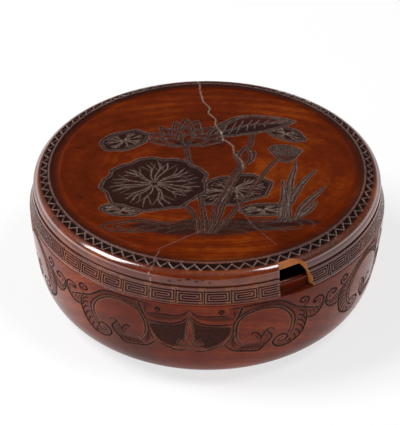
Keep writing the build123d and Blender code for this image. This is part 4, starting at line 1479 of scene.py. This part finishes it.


# Studio: a wide pale floor with a painted shadow under the box, two soft boxes overhead, and a sky that is
# bright low down, most to the sides

studio = {
    "floorSize": 12.0,
    "floorHeight": -0.00005,         # just clear of the foot
    "floorColour": (250, 250, 250),
    # Share of plain white that the camera and reflections see: low under the box, where it paints a contact
    # shadow on the floor, and full away from it
    "floorGlowAndPaintedShadow": (0.08, 0.70),
    "paintedShadowRadius": (0.096, 0.114),    # m from the middle, between which the floor's glow rises out of the painted shadow
    "fillBlend": 0.05,               # share across over which one side's fill turns into the other's
    "boxDistance": 3.0,
    # Direction, width and height in m, roll in degrees, watts
    "boxes": (
        ((-0.58, -0.02, 0.815), 0.98, 1.35, 32, 72.0),
        ((0.40, -0.16, 0.90), 0.60, 0.90, -32, 26.0),
    ),
    # Height of the direction, strength
    "sky": ((0.0, 1.0), (0.13, 1.0), (0.26, 0.03), (0.74, 0.02), (1.0, 0.12)),
    "sideFill": {"left": 5.2, "right": 3.2, "height": (0.2, 0.42)},
}


def makeFloor():
    half, low = studio["floorSize"] / 2, studio["floorHeight"]
    mesh = bpy.data.meshes.new("studioFloor")
    corners = [(-half, -half, low), (half, -half, low), (half, half, low), (-half, half, low)]
    mesh.from_pydata(corners, [], [(0, 1, 2, 3)])
    material, n = newMaterial("floorPaper")
    paper = n.add("ShaderNodeBsdfDiffuse", {"Color": linear(*studio["floorColour"])})
    white = n.add("ShaderNodeEmission", {"Strength": 1.0})
    seen = n.math("MAXIMUM", n.add("ShaderNodeLightPath"), n.add("ShaderNodeLightPath", out="Is Glossy Ray"))
    seen = n.math("MAXIMUM", seen, n.add("ShaderNodeLightPath", out="Is Transmission Ray"))
    # The glow drops in a round under the box: a painted contact shadow, which the base's underside also
    # reflects
    fromBox = n.vector("LENGTH", n.add("ShaderNodeTexCoord", out=3), out=1)
    glow = n.span(fromBox, *studio["paintedShadowRadius"], *studio["floorGlowAndPaintedShadow"])
    shader = n.add("ShaderNodeMixShader", {0: n.math("MULTIPLY", seen, glow), 1: paper, 2: white})
    n.add("ShaderNodeOutputMaterial", {"Surface": shader})
    mesh.materials.append(material)
    floor = bpy.data.objects.new("studioFloor", mesh)
    bpy.context.scene.collection.objects.link(floor)


def makeSky():
    # Strength: a ramp over height, plus low fills that grow with the square of the share across
    world = bpy.data.worlds.new("studioSky")
    world.use_nodes = True
    bpy.context.scene.world = world
    n = Nodes(world.node_tree)
    right = viewAxes(photoView["turn"], 0)[0]
    direction = n.add("ShaderNodeTexCoord", out=0)
    height = n.add("ShaderNodeSeparateXYZ", {0: direction}, out=2)
    ramp = world.node_tree.nodes.new("ShaderNodeValToRGB")
    stops = ramp.color_ramp.elements
    while len(stops) < len(studio["sky"]):
        stops.new(0.5)
    for stop, (level, strength) in zip(stops, studio["sky"]):
        stop.position, stop.color = level, (strength, strength, strength, 1)
    world.node_tree.links.new(height, ramp.inputs[0])
    fill = studio["sideFill"]
    across = n.vector("DOT_PRODUCT", direction, tuple(right), out=1)
    strong = n.span(across, -studio["fillBlend"], studio["fillBlend"], fill["left"], fill["right"])
    fade = n.span(height, *fill["height"], 1.0, 0.0)
    extra = n.math("MULTIPLY", n.math("MULTIPLY", n.math("MULTIPLY", across, across), strong), fade)
    strength = n.math("ADD", ramp.outputs[0], extra)
    background = n.add("ShaderNodeBackground", {"Strength": strength})
    n.add("ShaderNodeOutputWorld", {"Surface": background})


def makeSoftBoxes():
    right, upright, forward = viewAxes(photoView["turn"], 0)
    for number, (direction, width, height, roll, power) in enumerate(studio["boxes"]):
        d = np.array(direction) / np.linalg.norm(direction)
        d = d[0] * right + d[1] * forward + d[2] * upright
        lamp = bpy.data.lights.new("softBox%d" % number, "AREA")
        lamp.shape, lamp.size, lamp.size_y, lamp.energy = "RECTANGLE", width, height, power
        holder = bpy.data.objects.new(lamp.name, lamp)
        bpy.context.scene.collection.objects.link(holder)
        level = np.cross(upright, d)
        level /= np.linalg.norm(level)
        side = math.cos(math.radians(roll)) * level + math.sin(math.radians(roll)) * np.cross(d, level)
        place = np.eye(4)
        place[:3, 0], place[:3, 1], place[:3, 2] = side, np.cross(d, side), d
        place[:3, 3] = d * studio["boxDistance"]
        holder.matrix_world = Matrix(place.tolist())


makeFloor()
makeSky()
makeSoftBoxes()
bpy.context.scene.view_settings.view_transform = "Standard"
print("studio made")
